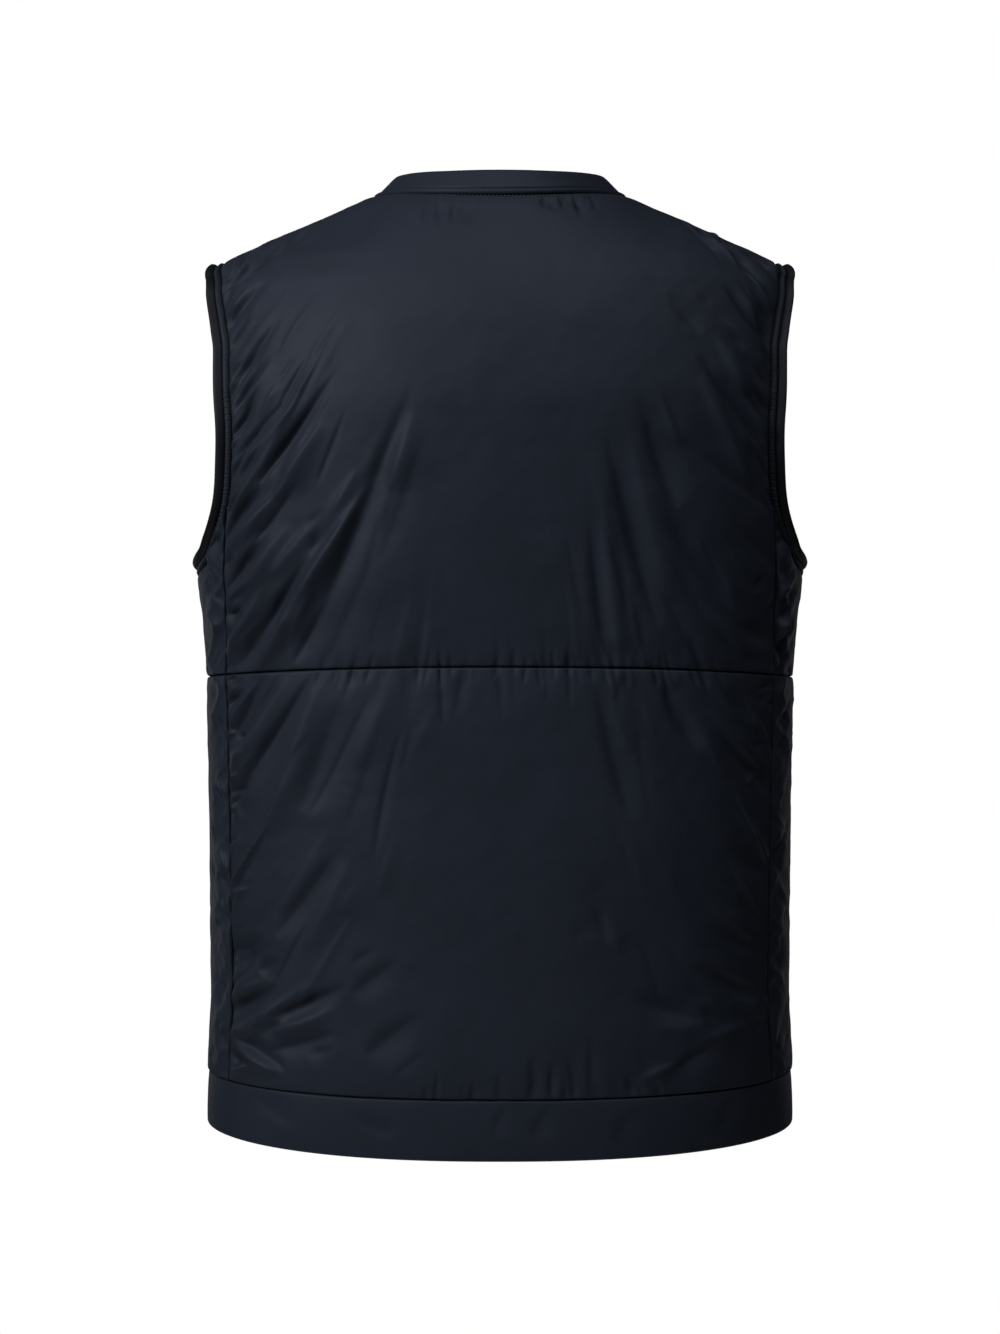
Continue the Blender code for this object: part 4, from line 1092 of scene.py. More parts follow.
def back_panels(lower_back, material):
    """Upper and lower back, which share one set of folds and puckers."""
    rng = np.random.default_rng(BACK_FOLDS_SEED)
    folds = stroked_folds()
    table = folds + finer_beside(folds, rng) + fanned_streaks(rng)
    table += armhole_creases(1, rng) + shoulder_creases(rng) + seam_puckers(rng)
    table += scattered_crinkles(BACK_CRINKLES, rng)
    waist = lower_back[-1]
    seam = seam_line(waist[0], ARMHOLE_BACK[0], UPPER_SEAM_ROWS)
    side = np.concatenate((seam, ARMHOLE_BACK[1:]))
    half_top = np.concatenate((evenly(NECK_BACK_LINE[::-1], NECK_BACK_CELLS),
                               evenly(SHOULDER_LINE[::-1], SHOULDER_CELLS)[1:]))
    upper_back = patch(waist, across_back(half_top), side, side * (-1, 1, 1))
    panels = (("back_upper", upper_back, SHOULDER_ROLL, ()),
              ("back_lower", lower_back, SEAM_ROLL, ("back_upper_cloth",)))
    for node, grid, top_roll, hangs_from in panels:
        grid = with_fine_borders(grid)
        x, drop = grid[..., 0], -grid[..., 2]
        relief = creases(table, x, drop) + fine_waves(x, drop, WAVES_SEEDS[node])
        side_roll = np.where(drop[:, :1] < BACK_JUNCTION_DROP, ARMHOLE_ROLL, SEAM_ROLL)
        panel(node, grid, relief, material, side_roll=side_roll, top_roll=top_roll)
    return seam


def side_panels(lower_side, back_seam, material):
    """Side bodies above and below the waist seam, each with its own crinkles and crumpled cloth, which fade
    away from both of its side seams as exp(-distance / fade)."""
    waist = lower_side[-1]
    front_seam = seam_line(waist[-1], ARMHOLE_FRONT[0], UPPER_SEAM_ROWS)
    upper_side = patch(waist, ARMHOLE_UNDER, back_seam, front_seam)
    for hand, sign in HANDS:
        table = scattered_crinkles(SIDE_CRINKLES, np.random.default_rng(SIDE_CRINKLES_SEED + sign))
        levels = (("upper", upper_side, ()), ("lower", lower_side, (f"side_upper_{hand}_cloth",)))
        for level, grid, hangs_from in levels:
            grid = with_fine_borders(grid if sign > 0 else mirrored(grid))
            y, drop = grid[..., 1], -grid[..., 2]
            past_back, past_front = y - BACK_SEAM_DEPTH, -(y + FRONT_SEAM_DEPTH)
            nearness = np.exp(past_back / CRUMPLE_FADE) + np.exp(past_front / CRUMPLE_FADE)
            crumpled = CRUMPLE_HEIGHT * crumple(y, drop, SIDE_CRUMPLE_SEED + sign)
            relief = nearness * (creases(table, y, drop) + crumpled)
            node = f"side_{level}_{hand}"
            panel(node, grid, relief, material, seam=SIDE_SEAM_THICKNESS)


def front_grid():
    """Grid of the left front: hem seam below, shoulder above, side seam and armhole, front edge and neck."""
    bottom = front_line(HEM_SEAM_DROP, -FRONT_SEAM_DEPTH, FRONT_CELLS)
    drops = np.linspace(HEM_SEAM_DROP, WAIST_DROP, LINE_POINTS)
    lower = evenly(at_depth(np.full(LINE_POINTS, -FRONT_SEAM_DEPTH), drops), FRONT_LOWER_ROWS)
    upper = seam_line(lower[-1], ARMHOLE_FRONT[0], FRONT_UPPER_ROWS)
    side = np.concatenate((lower, upper[1:], ARMHOLE_FRONT[1:]))
    edge_rows = len(side) - 1 - NECK_FRONT_ROWS
    edge_drops = np.linspace(HEM_SEAM_DROP, FRONT_NECK_DROP, edge_rows + 1)
    edge = at_width(np.full(edge_rows + 1, FRONT_EDGE), edge_drops, -1)
    neck = evenly(NECK_FRONT_LINE[::-1], NECK_FRONT_ROWS)
    return patch(bottom, evenly(SHOULDER_LINE, FRONT_CELLS), side, np.concatenate((edge, neck[1:])))


def front_panels(material):
    """Left and right front with folds of their own; gives the left one's grid."""
    rng = np.random.default_rng(FRONT_FOLDS_SEED)
    table = list(FRONT_FOLDS) + finer_beside(FRONT_FOLDS, rng) + armhole_creases(-1, rng)
    table += scattered_crinkles(FRONT_CRINKLES, rng)
    left = front_grid()
    for node, grid in (("front_left", left), ("front_right", mirrored(left))):
        grid = with_fine_borders(grid)
        x, drop = grid[..., 0], -grid[..., 2]
        panel(node, grid, creases(table, x, drop) + fine_waves(x, drop, WAVES_SEEDS[node]), material)
    return left


def hem_bands(material):
    """The hem band: one back piece between the side lines and two fronts."""
    middle = SIDE_CELLS // 2
    backs, fronts = [], []
    for share in np.linspace(0, 1, HEM_ROWS + 1):
        drop = HEM_DROP + (HEM_SEAM_DROP - HEM_DROP) * share
        arch = -HEM_TAIL + (HEM_TAIL - HEM_SEAM_TAIL) * share
        side = level_line(drop, arch, BACK_SEAM_DEPTH_HEM, -FRONT_SEAM_DEPTH, SIDE_CELLS)
        back = back_line(drop, arch, BACK_SEAM_DEPTH_HEM, SHOULDER_CELLS + NECK_BACK_CELLS)
        backs.append(across_back(np.concatenate((back, side[1:middle + 1]))))
        front = front_line(drop, -FRONT_SEAM_DEPTH, FRONT_CELLS)
        fronts.append(np.concatenate((side[middle:], front[1:])))
    back, front = np.stack(backs), np.stack(fronts)
    bands = (("hem_band_back", back, "back_lower_cloth"),
             ("hem_band_front_left", front, "front_left_cloth"),
             ("hem_band_front_right", mirrored(front), "front_right_cloth"))
    for node, grid, above in bands:
        grid = with_fine_borders(grid)
        x, drop = grid[..., 0], -grid[..., 2]
        relief = creases(HEM_DENTS, x, drop) + HEM_WAVES_SHARE * fine_waves(x, drop, WAVES_SEEDS[node])
        panel(node, grid, relief, material, HEM_BAND_THICKNESS)


# Neck and armhole edges

def edge_frame(line, closed):
    """For each point of an edge line: the form's normal and the way across the line into the opening."""
    if closed:
        along = np.roll(line, -1, 0) - np.roll(line, 1, 0)
    else:
        along = np.gradient(line, axis=0)
        along[0, 1:] = along[-1, 1:] = 0.0
    along = unit(along)
    normal = form_normals(line)
    normal = unit(normal - along * np.sum(normal * along, 1, keepdims=True))
    return normal, np.cross(along, normal)


def edge_strip(place, across, heights, rise, turn, width):
    """Profile points across an edge: each lies its distance across, its height above the form, and a further
    lift, the rise times width times (distance / width)^turn, so that the edge stands away from the form."""
    line, normal, inward = place
    across = np.broadcast_to(across, heights.shape)[..., None]
    lift = rise * width * (across / width) ** turn
    return line[None] + inward[None] * across + normal[None] * (lift + heights[..., None])


def with_inside(start, width, across, heights, inside_points):
    """A profile's outside completed by its flat inside, which runs back on the form to its start."""
    inside = start + width * np.linspace(1, 0, inside_points)[:, None]
    flat = np.zeros((inside_points, heights.shape[1]))
    return np.concatenate((across, inside)), np.concatenate((heights, flat))


def roll_profile(start, width, height, waves, roundness):
    """A roll: places across it, and heights that follow a sine, squarer the lower its roundness, and swing
    by the waves along the seam."""
    angle = np.linspace(0, math.pi, ROLL_CELLS + 1)[:, None]
    across = start + width * (1 - np.cos(angle)) / 2
    arch = np.sin(angle) ** roundness
    heights = DITCH_HEIGHT + (height - DITCH_HEIGHT) * arch + waves[None] * np.sin(angle)
    return with_inside(start, width, across, heights, ROLL_INSIDE_POINTS)


def band_profile(start, width, height, waves):
    """A doubled flat band: it rolls up from the ridge's seam as 1 - exp(-distance / roll), and at its free
    edge it is folded over as the square root of 1 - share^sharpness."""
    share = np.linspace(0, 1, BAND_CELLS + 1)[:, None] ** BAND_CROWDING
    rolled = 1 - np.exp(-share * width / SEAM_ROLL)
    folded = np.sqrt(np.clip(1 - share**BAND_FOLD_SHARPNESS, 0, 1))
    heights = SEAM_THICKNESS + (height - SEAM_THICKNESS) * rolled
    heights = heights * (BAND_EDGE_SHARE + (1 - BAND_EDGE_SHARE) * folded) + waves[None] * rolled * folded
    return with_inside(start, width, start + width * share, heights, BAND_INSIDE_POINTS)


def edge_piece(node, place, profile, shape, material, closed, shade):
    """Carries an edge's profile along its line; gives the piece and the grid of its outside."""
    across, heights = profile
    points = edge_strip(place, across, heights, *shape)
    run = np.broadcast_to(line_lengths(place[0])[None], heights.shape)
    uvs = np.stack((run, np.broadcast_to(across, heights.shape)), -1)
    # Painted shade: the colour darkens from the start of each profile, at its ditch
    painted_shade = np.broadcast_to(np.exp(-(across - across.min()) / shade), heights.shape)
    piece = tube(node + "_cloth", points, uvs, painted_shade, material, closed, place[1])
    outside = points[:np.count_nonzero(heights[:, 0])]
    return piece, np.concatenate((outside, outside[:, :1]), 1) if closed else outside


def ridge_and_band(name, place, profiles, shape, materials, closed, shade):
    """The ridge on an edge seam and the band beyond it, each put on the garment's body in place of its node;
    the band is also measured as a cut cloth piece."""
    ridge, _ = edge_piece(name.format("ridge"), place, profiles[0], shape, materials[0], closed, shade)
    stands_for(ridge, name.format("ridge"))
    band, outside = edge_piece(name.format("band"), place, profiles[1], shape, materials[1], closed, shade)
    sewn_in(band, name.format("band"), outside)


def ridge_gathers(run, strength, seed):
    """Gathers along a seam: sines laid over each other, whose phase wanders and whose strength varies."""
    wander = unevenness(run, np.zeros_like(run), GATHER_WANDER_SPACING, seed)
    steady, varied = GATHER_STRENGTH
    another_row = np.full_like(run, 0.1)
    uneven = steady + varied * unevenness(run, another_row, GATHER_STRENGTH_SPACING, seed)
    wave = sum(share * np.sin(2 * math.pi * run / pitch + shift * wander)
               for pitch, share, shift in GATHER_WAVES)
    return GATHER_HEIGHT * strength * uneven * wave


def band_ripples(run, size, seed):
    """Soft ripples along a band: smooth random heights of one spacing."""
    height, spacing = size
    return height * unevenness(run, np.zeros_like(run), spacing, seed)


def armhole_edges(hand, side, materials):
    """Ridge and rolled binding of one armhole."""
    loop = np.concatenate((ARMHOLE_LOOP, ARMHOLE_LOOP[:1]))
    line = evenly(loop, round(line_lengths(loop)[-1] / EDGE_CELL))[:-1]
    place = [part * (side, 1, 1) for part in (line, *edge_frame(line, True))]
    run = line_lengths(line)
    lowness = (-line[:, 2] - GATHER_FAINT_DROP) / (GATHER_FULL_DROP - GATHER_FAINT_DROP)
    gathers = ridge_gathers(run, np.clip(lowness, GATHER_FAINTEST, 1), ARMHOLE_GATHERS_SEED + side)
    ripples = band_ripples(run, BINDING_RIPPLES, BINDING_RIPPLES_SEED + side)
    profiles = (roll_profile(0.0, ARMHOLE_RIDGE_WIDTH, RIDGE_HEIGHT, gathers, ARMHOLE_RIDGE_ROUNDNESS),
                roll_profile(ARMHOLE_RIDGE_WIDTH, ARMHOLE_BAND_WIDTH, ARMHOLE_BAND_THICKNESS, ripples,
                             BINDING_ROUNDNESS))
    share = np.abs(line[:, 1:2]) / ARMHOLE[:, 1].max()
    rise = ARMHOLE_RISE_SIDE + (ARMHOLE_RISE_BACK - ARMHOLE_RISE_SIDE) * share
    shape = (rise, ARMHOLE_TURN, ARMHOLE_RIDGE_WIDTH + ARMHOLE_BAND_WIDTH)
    ridge_and_band("armhole_{}_" + hand, place, profiles, shape, materials, True, DITCH_SHADE)


def neck_line():
    """The neck seam from the right front edge round the back to the left one."""
    half = np.concatenate((NECK_FRONT_LINE[::-1], NECK_BACK_LINE[1:]))
    return np.concatenate((half * (-1, 1, 1), half[-2::-1]))


def neck_edges(material):
    """Ridge and flat band of the neck, open at the front for the zip; gives a line up its front end."""
    line = neck_line()
    line = evenly(line, round(line_lengths(line)[-1] / EDGE_CELL))
    place = (line, *edge_frame(line, False))
    run = line_lengths(line)
    rise = NECK_RISE_MIDDLE + (NECK_RISE_SIDE - NECK_RISE_MIDDLE) * (np.abs(line[:, :1]) / NECK_SIDE[0]) ** 2
    gathers = ridge_gathers(run, np.full_like(run, NECK_GATHER_SHARE), NECK_GATHERS_SEED)
    ripples = band_ripples(run, NECK_BAND_RIPPLES, NECK_RIPPLES_SEED)
    profiles = (roll_profile(0.0, NECK_RIDGE_WIDTH, RIDGE_HEIGHT, gathers, NECK_RIDGE_ROUNDNESS),
                band_profile(NECK_RIDGE_WIDTH, NECK_BAND_WIDTH, NECK_BAND_THICKNESS, ripples))
    width = NECK_RIDGE_WIDTH + NECK_BAND_WIDTH
    shape = (rise, NECK_TURN, width)
    ridge_and_band("neck_{}", place, profiles, shape, (material, material), False, SEAM_SHADE)
    across = np.linspace(0, width, NECK_END_POINTS)[1:-1, None]
    end = [part[-1:] for part in place]
    return edge_strip(end, across, np.zeros(across.shape), rise[-1:], NECK_TURN, width)[:, 0]


# Sewing

def stitch_row(name, line, normal, material):
    """A row of lock stitches: each a short thread of a few sides that rises from the cloth and dips back as
    a sine, drawn in towards its ends."""
    lengths = line_lengths(line)
    count = int((lengths[-1] - STITCH_LENGTH) / STITCH_PITCH)
    share = np.linspace(0, 1, STITCH_POINTS)
    stops = (np.arange(count) * STITCH_PITCH)[:, None] + share * STITCH_LENGTH
    centre = np.stack([np.interp(stops, lengths, line[:, i]) for i in range(3)], -1)
    up = unit(np.stack([np.interp(stops, lengths, normal[:, i]) for i in range(3)], -1))
    beside = unit(np.cross(np.gradient(centre, axis=1), up))
    rise = THREAD_RADIUS * (STITCH_RISE * np.sin(math.pi * share) - STITCH_SINK)
    centre = centre + up * rise[None, :, None]
    angle = np.linspace(0, 2 * math.pi, THREAD_SIDES, endpoint=False)
    round_off = np.sin(math.pi * (STITCH_END + (1 - 2 * STITCH_END) * share))[None, :, None, None]
    ring = np.cos(angle)[:, None] * beside[:, :, None] + np.sin(angle)[:, None] * up[:, :, None]
    points = centre[:, :, None] + ring * THREAD_RADIUS * round_off
    number = np.arange(points[..., 0].size).reshape(points.shape[:3])
    ahead = np.roll(number, -1, 2)
    sides = np.stack((number[:, :-1], ahead[:, :-1], ahead[:, 1:], number[:, 1:]), -1).reshape(-1, 4)
    caps = np.concatenate((number[:, 0, ::-1], number[:, -1]))
    piece = add_piece(name, points, sides.tolist() + caps.tolist(), material)
    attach(piece, "garment")
    return piece


def neck_stitches(material):
    """Topstitching along the neck seam, on the panels just outside the ridge."""
    line = evenly(neck_line(), NECK_STITCH_CELLS)
    normal, inward = edge_frame(line, False)
    height = SEAM_THICKNESS + (PADDED_THICKNESS - SEAM_THICKNESS) * NECK_STITCH_LIFT
    stitch_row("neck_stitches", line - inward * NECK_STITCH_INSET + normal * height, normal, material)


def zip_stitches(left_grid, material):
    """One row beside each front edge, through front and zip tape."""
    run = border_runs(left_grid)[1]
    column = np.argmin(np.abs(run - ZIP_STITCH_INSET).mean(0))
    hem_rows, neck_rows = ZIP_STITCH_FREE_ROWS
    line = left_grid[hem_rows:len(left_grid) - NECK_FRONT_ROWS - neck_rows, column]
    normal = form_normals(line)
    height = SEAM_THICKNESS + (PADDED_THICKNESS - SEAM_THICKNESS) * ZIP_STITCH_LIFT
    for hand, sign in HANDS:
        turn = np.array((sign, 1, 1))
        stitch_row(f"zip_stitches_{hand}", (line + normal * height) * turn, normal * turn, material)


# Zip

def zip_path(neck_rows):
    """Centre front line from the hem to the top of the neck band, with the way outwards at each point."""
    drops = np.linspace(HEM_DROP - ZIP_END_ABOVE_HEM, FRONT_NECK_DROP, FRONT_ZIP_POINTS)
    front = at_width(np.full(FRONT_ZIP_POINTS, FRONT_EDGE), drops, -1)
    points = evenly(np.concatenate((front, neck_rows)) * (0, 1, 1), ZIP_CELLS)
    return points, unit(np.cross(np.gradient(points, axis=0), (-1.0, 0.0, 0.0)))


def squared_oval(sides, roundness, first_angle=0.0):
    """Points round an oval of half-size 1: cosine and sine to the power of its roundness, signs kept."""
    turn = np.linspace(0, 2 * math.pi, sides, endpoint=False) + first_angle
    points = np.stack((np.cos(turn), np.sin(turn)), -1)
    return np.sign(points) * np.abs(points) ** roundness


def zip_tapes(points, outward, material):
    """Two woven tapes behind the front edges: a thin rounded strip carried along the zip."""
    profile = squared_oval(TAPE_SIDES, TAPE_ROUNDNESS)
    middle, half = (TAPE_INNER + TAPE_OUTER) / 2, (TAPE_OUTER - TAPE_INNER) / 2
    across = middle + half * profile[:, 0]
    height = -TAPE_GAP - TAPE_THICKNESS / 2 + TAPE_THICKNESS / 2 * profile[:, 1]
    run = np.broadcast_to(line_lengths(points)[None], (TAPE_SIDES, len(points)))
    uvs = np.stack((np.broadcast_to(across[:, None], run.shape), run), -1)
    for hand, sign in HANDS:
        strip = points[None] + outward[None] * height[:, None, None]
        strip = strip + across[:, None, None] * np.array((sign, 0.0, 0.0))
        piece = tube(f"zip_tape_{hand}_cloth", strip, uvs, None, material, False, outward)
        stands_for(piece, "zip_tape_" + hand)


def zip_teeth(points, outward, material):
    """Moulded teeth of both sides, meshed below the slider and parted above it. Each is a short rounded
    block, a squared oval carried across the zip and drawn in at its ends. The sides are half a pitch apart,
    and about one pitch at each end of the zip is left free."""
    lengths = line_lengths(points)
    slider_run = np.interp(-SLIDER_DROP, points[:, 2], lengths)
    count = int(lengths[-1] / TOOTH_PITCH) - 2
    profile = squared_oval(TOOTH_SIDES, TOOTH_ROUNDNESS, math.pi / TOOTH_SIDES)
    blocks = []
    for sign in (1, -1):
        run = (np.arange(count) + 1.0 + 0.25 * sign) * TOOTH_PITCH
        parting = OPEN_TEETH_SHIFT * np.clip((run - slider_run) / PARTING_RUN, 0, 1)
        centre = np.stack([np.interp(run, lengths, points[:, i]) for i in range(3)], -1)
        out = unit(np.stack([np.interp(run, lengths, outward[:, i]) for i in range(3)], -1))
        up = np.cross(out, (-1.0, 0.0, 0.0))
        rings = []
        for reach, size in TOOTH_SECTIONS:
            place = centre + (reach * TOOTH_LENGTH + parting)[:, None] * np.array((sign, 0.0, 0.0))
            place = place - out * (TAPE_GAP + TAPE_THICKNESS / 2)
            ring = (profile[:, :1] * TOOTH_WIDTH / 2 * up[:, None] * size
                    + profile[:, 1:] * TOOTH_HEIGHT / 2 * out[:, None] * size)
            rings.append(place[:, None] + ring)
        blocks.append(np.stack(rings, 1))
    blocks = np.concatenate(blocks)
    number = np.arange(blocks[..., 0].size).reshape(blocks.shape[:3])
    ahead = np.roll(number, -1, 2)
    sides = np.stack((number[:, :-1], ahead[:, :-1], ahead[:, 1:], number[:, 1:]), -1)
    sides = sides.reshape(2 * count, -1, 4)
    sides[:count] = sides[:count, :, ::-1]
    left, right = number[:count], number[count:]
    caps = np.concatenate((left[:, 0], left[:, -1, ::-1], right[:, 0, ::-1], right[:, -1]))
    piece = add_piece("zip_teeth_rows", blocks, sides.reshape(-1, 4).tolist() + caps.tolist(), material)
    stands_for(piece, "zip_teeth")


# Materials

# Pitch of the weaves. Real threads lie about 0.2 mm apart, too fine to show, so they are drawn coarser.
SHELL_THREAD = 0.0005
BINDING_THREAD = 0.0008
TAPE_THREAD = 0.0009

# Sizes of the other patterns: patches, dimples and plies as they are on the real materials
SHADE_CLOUD = 0.050
CLOTH_DIMPLE = 0.0040
THREAD_PLY = 0.0005
TOOTH_MOTTLE = 0.0015
PAINT_PEBBLE = 0.0008
RUBBED_PATCH = 0.006

# Colour of the painted shade at the bottom of a seam
SEAM_PAINTED_SHADOW = "#030304"
WAVE_TEXTURE_RADIANS = 20


def linear(code):
    """A colour written as sRGB hex, as linear values with full alpha."""
    parts = np.array([int(code[i:i + 2], 16) for i in (1, 3, 5)]) / 255
    return (*np.where(parts <= 0.04045, parts / 12.92, ((parts + 0.055) / 1.055) ** 2.4), 1.0)


def add_node(tree, kind, inputs=(), **settings):
    """Adds a shader node with its settings; an input that is a socket is linked, and a value is set."""
    made = tree.nodes.new(kind)
    for name, value in settings.items():
        setattr(made, name, value)
    for key, value in dict(inputs).items():
        if isinstance(value, bpy.types.NodeSocket):
            tree.links.new(value, made.inputs[key])
        else:
            made.inputs[key].default_value = value
    return made


def shader(name, **values):
    """A new material and its Principled shader with constant values set on its sockets."""
    material = bpy.data.materials.new(name)
    material.use_nodes = True
    principled = material.node_tree.nodes["Principled BSDF"]
    for key, value in values.items():
        principled.inputs[key.replace("_", " ")].default_value = value
    return material, material.node_tree, principled


def wave_scale(pitch):
    """The Wave texture's scale for stripes of a given pitch: it draws so many radians to a unit."""
    return 2 * math.pi / (WAVE_TEXTURE_RADIANS * pitch)


def woven_cloth(name, dark, light, thread, roughness, shine):
    """Woven synthetic cloth. The shell is calendered nylon taffeta, a plain weave pressed flat, which gives
    it a satin gloss and a little colour change from thread to thread. The polyester tape is darker and has
    coarser threads. The elastic binding has coarser threads too, and its darker colour is painted shade for
    the armhole bands, which lie in shade. The bottom of a seam, which little light reaches, is painted
    nearly black: painted shade."""
    material, tree, principled = shader(name, Specular_IOR_Level=shine, Specular_Tint=linear("#d9e3f5"))
    place = add_node(tree, "ShaderNodeUVMap", uv_map="cloth_run").outputs["UV"]
    stripes = {"Vector": place, "Scale": wave_scale(thread), "Distortion": 0.4}
    warp = add_node(tree, "ShaderNodeTexWave", stripes, bands_direction="X").outputs["Fac"]
    weft = add_node(tree, "ShaderNodeTexWave", stripes, bands_direction="Y").outputs["Fac"]
    weave = add_node(tree, "ShaderNodeMath", {0: warp, 1: weft}, operation="MULTIPLY").outputs[0]
    solid = add_node(tree, "ShaderNodeTexCoord").outputs["Object"]
    patches = {"Vector": solid, "Scale": 1 / SHADE_CLOUD, "Detail": 3.0}
    cloud = add_node(tree, "ShaderNodeTexNoise", patches).outputs["Fac"]
    tone = add_node(tree, "ShaderNodeMath", {0: weave, 1: 0.35, 2: cloud}, operation="MULTIPLY_ADD")
    dyes = {0: tone.outputs[0], 6: linear(dark), 7: linear(light)}
    colour = add_node(tree, "ShaderNodeMix", dyes, data_type="RGBA").outputs[2]
    # Painted shade: the colour is mixed towards near black at the bottom of each seam
    seam = add_node(tree, "ShaderNodeAttribute", attribute_name="seam_painted_shade").outputs["Fac"]
    shades = {0: seam, 6: colour, 7: linear(SEAM_PAINTED_SHADOW)}
    shaded = add_node(tree, "ShaderNodeMix", shades, data_type="RGBA").outputs[2]
    tree.links.new(shaded, principled.inputs["Base Color"])
    gloss = add_node(tree, "ShaderNodeMapRange", {0: cloud, 3: roughness - 0.05, 4: roughness + 0.05})
    tree.links.new(gloss.outputs[0], principled.inputs["Roughness"])
    bumps = {"Vector": solid, "Scale": 1 / CLOTH_DIMPLE, "Detail": 2.0}
    dimple = add_node(tree, "ShaderNodeTexNoise", bumps).outputs["Fac"]
    pressed = {"Height": dimple, "Strength": 0.06, "Distance": 0.0006}
    dimpled = add_node(tree, "ShaderNodeBump", pressed).outputs[0]
    raised = {"Height": weave, "Normal": dimpled, "Strength": 0.10, "Distance": 0.0001}
    woven = add_node(tree, "ShaderNodeBump", raised).outputs[0]
    tree.links.new(woven, principled.inputs["Normal"])
    return material


def thread_material():
    """Polyester sewing thread, twisted: matt, with slanting plies."""
    material, tree, principled = shader("polyester_thread_twisted", Roughness=0.7, Specular_IOR_Level=0.3)
    solid = add_node(tree, "ShaderNodeTexCoord").outputs["Object"]
    twist = {"Vector": solid, "Scale": wave_scale(THREAD_PLY)}
    plies = add_node(tree, "ShaderNodeTexWave", twist, bands_direction="DIAGONAL").outputs["Fac"]
    dyes = {0: plies, 6: linear("#1b202b"), 7: linear("#272d3a")}
    colour = add_node(tree, "ShaderNodeMix", dyes, data_type="RGBA")
    tree.links.new(colour.outputs[2], principled.inputs["Base Color"])
    return material


def moulded_nylon():
    """Moulded nylon zip teeth: smooth and slightly waxy, with faint mottling from the mould."""
    material, tree, principled = shader("nylon_teeth_moulded", Specular_IOR_Level=0.5)
    solid = add_node(tree, "ShaderNodeTexCoord").outputs["Object"]
    patches = {"Vector": solid, "Scale": 1 / TOOTH_MOTTLE, "Detail": 2.0}
    mottle = add_node(tree, "ShaderNodeTexNoise", patches).outputs["Fac"]
    dyes = {0: mottle, 6: linear("#10131a"), 7: linear("#1d212b")}
    colour = add_node(tree, "ShaderNodeMix", dyes, data_type="RGBA")
    tree.links.new(colour.outputs[2], principled.inputs["Base Color"])
    gloss = add_node(tree, "ShaderNodeMapRange", {0: mottle, 3: 0.30, 4: 0.46})
    tree.links.new(gloss.outputs[0], principled.inputs["Roughness"])
    return material


def painted_zinc():
    """Die-cast zinc under dark paint: satin, faintly pebbled, and rubbed a little brighter in patches."""
    material, tree, principled = shader("zinc_cast_painted", Metallic=0.35, Specular_IOR_Level=0.5)
    solid = add_node(tree, "ShaderNodeTexCoord").outputs["Object"]
    patches = {"Vector": solid, "Scale": 1 / RUBBED_PATCH, "Detail": 2.0}
    rub = add_node(tree, "ShaderNodeTexNoise", patches).outputs["Fac"]
    paints = {0: rub, 6: linear("#1b1d22"), 7: linear("#3a3d45")}
    colour = add_node(tree, "ShaderNodeMix", paints, data_type="RGBA")
    tree.links.new(colour.outputs[2], principled.inputs["Base Color"])
    gloss = add_node(tree, "ShaderNodeMapRange", {0: rub, 3: 0.42, 4: 0.30})
    tree.links.new(gloss.outputs[0], principled.inputs["Roughness"])
    grains = {"Vector": solid, "Scale": 1 / PAINT_PEBBLE, "Detail": 3.0}
    pebble = add_node(tree, "ShaderNodeTexNoise", grains).outputs["Fac"]
    pebbled = add_node(tree, "ShaderNodeBump", {"Height": pebble, "Strength": 0.2, "Distance": 0.0001})
    tree.links.new(pebbled.outputs[0], principled.inputs["Normal"])
    return material


# Stage

def floor():
    """A plain pale round floor far below the hem: a disc of rings."""
    radius = np.linspace(FLOOR_MIDDLE, FLOOR_RADIUS, FLOOR_RINGS)[:, None]
    angle = np.linspace(0, 2 * math.pi, FLOOR_SIDES, endpoint=False)[None]
    level = np.full((FLOOR_RINGS, FLOOR_SIDES), -FLOOR_DROP)
    points = np.stack((radius * np.cos(angle), radius * np.sin(angle), level), -1)
    number = np.arange(level.size).reshape(level.shape)
    ahead = np.roll(number, -1, 1)
    rings = np.stack((number[:-1], number[1:], ahead[1:], ahead[:-1]), -1).reshape(-1, 4)
    material, _, _ = shader("floor_matt_paint", Base_Color=linear("#f1f1ef"), Roughness=0.9)
    disc = add_piece("floor", points, rings.tolist() + [number[0].tolist()], material)


def area_light(name, place, size, power):
    """A soft rectangular lamp at a place, turned to face LAMP_AIM."""
    lamp = bpy.data.lights.new(name, "AREA")
    lamp.shape = "RECTANGLE"
    lamp.size, lamp.size_y = size
    lamp.energy = power
    holder = bpy.data.objects.new(name, lamp)
    direction = np.subtract(LAMP_AIM, place)
    flat = math.hypot(direction[0], direction[1])
    holder.location = place
    holder.rotation_euler = (math.atan2(flat, -direction[2]), 0.0, math.atan2(-direction[0], direction[1]))
    bpy.context.scene.collection.objects.link(holder)


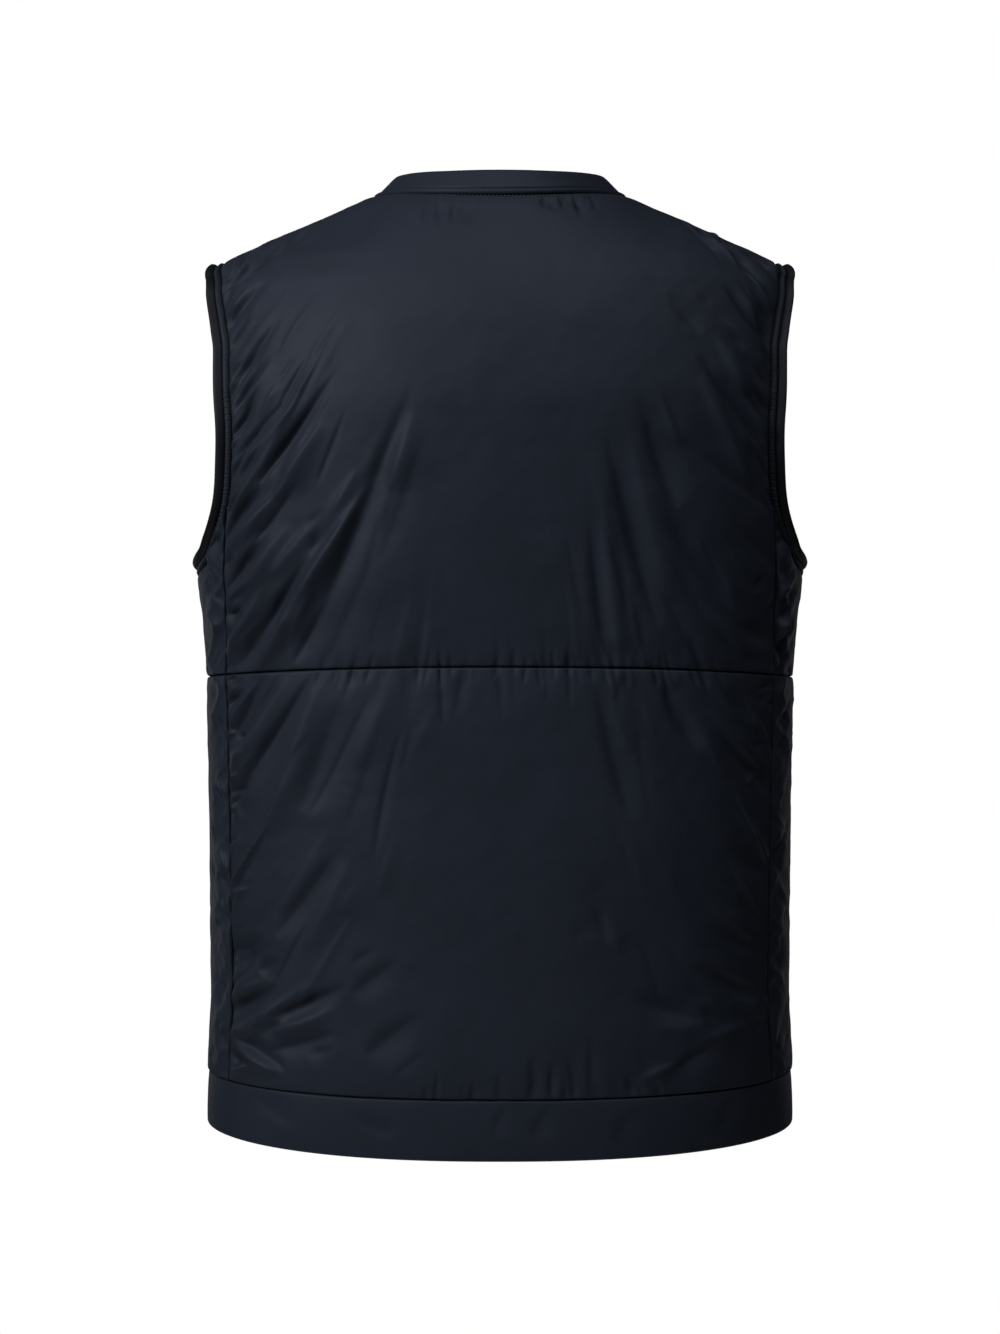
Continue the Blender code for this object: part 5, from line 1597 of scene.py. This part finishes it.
def studio():
    """A key light behind the garment, above and on the left, a weaker one overhead, one in front and a faint
    one before each side. The backdrop looks white and gives little light."""
    for name, (place, size, power) in LAMPS.items():
        area_light(name, place, size, power)
    world = bpy.data.worlds.new("white_studio")
    world.use_nodes = True
    tree = world.node_tree
    sight = add_node(tree, "ShaderNodeLightPath").outputs["Is Camera Ray"]
    strength = add_node(tree, "ShaderNodeMapRange", {0: sight, 3: FILL_STRENGTH, 4: 1.0})
    background = tree.nodes["Background"]
    background.inputs["Color"].default_value = (1.0, 1.0, 1.0, 1.0)
    tree.links.new(strength.outputs[0], background.inputs["Strength"])
    bpy.context.scene.world = world
    bpy.context.scene.view_settings.view_transform = "Standard"


def camera():
    """The photo's camera: level, straight behind the garment."""
    lens = bpy.data.cameras.new("camera")
    lens.sensor_fit = "HORIZONTAL"
    lens.angle = 2 * math.atan(PICTURE_WIDTH / 2 / CAMERA_DISTANCE)
    holder = bpy.data.objects.new("camera", lens)
    holder.location = (0.0, CAMERA_DISTANCE, -CAMERA_DROP)
    holder.rotation_euler = (math.pi / 2, 0.0, math.pi)
    bpy.context.scene.collection.objects.link(holder)
    bpy.context.scene.camera = holder


def dress():
    """Makes every piece, gives the hard zip parts their finish and sets the stage."""
    shell = woven_cloth("nylon_taffeta_calendered", dark="#151920", light="#1b1f28", thread=SHELL_THREAD,
                        roughness=0.60, shine=0.11)
    # The binding's near-black colour is painted shade: it darkens the armhole bands for the shade they lie
    # in
    binding = woven_cloth("elastic_binding_painted_shade", dark="#060709", light="#0a0b0e", thread=BINDING_THREAD,
                          roughness=0.60, shine=0.16)
    tape = woven_cloth("polyester_zip_tape_woven", dark="#0e1118", light="#191d27", thread=TAPE_THREAD,
                       roughness=0.70, shine=0.10)
    thread, metal = thread_material(), painted_zinc()
    lower_back, lower_side = lower_grids()
    back_seam = back_panels(lower_back, shell)
    side_panels(lower_side, back_seam, shell)
    left_front = front_panels(shell)
    hem_bands(shell)
    for hand, side in HANDS:
        armhole_edges(hand, side, (shell, binding))
    points, outward = zip_path(neck_edges(shell))
    neck_stitches(thread)
    zip_stitches(left_front, thread)
    zip_tapes(points, outward, tape)
    zip_teeth(points, outward, moulded_nylon())
    for node in ("zip_slider", "zip_pull"):
        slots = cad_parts[node].data.materials
        slots.clear()
        slots.append(metal)
    floor()
    studio()
    camera()


dress()
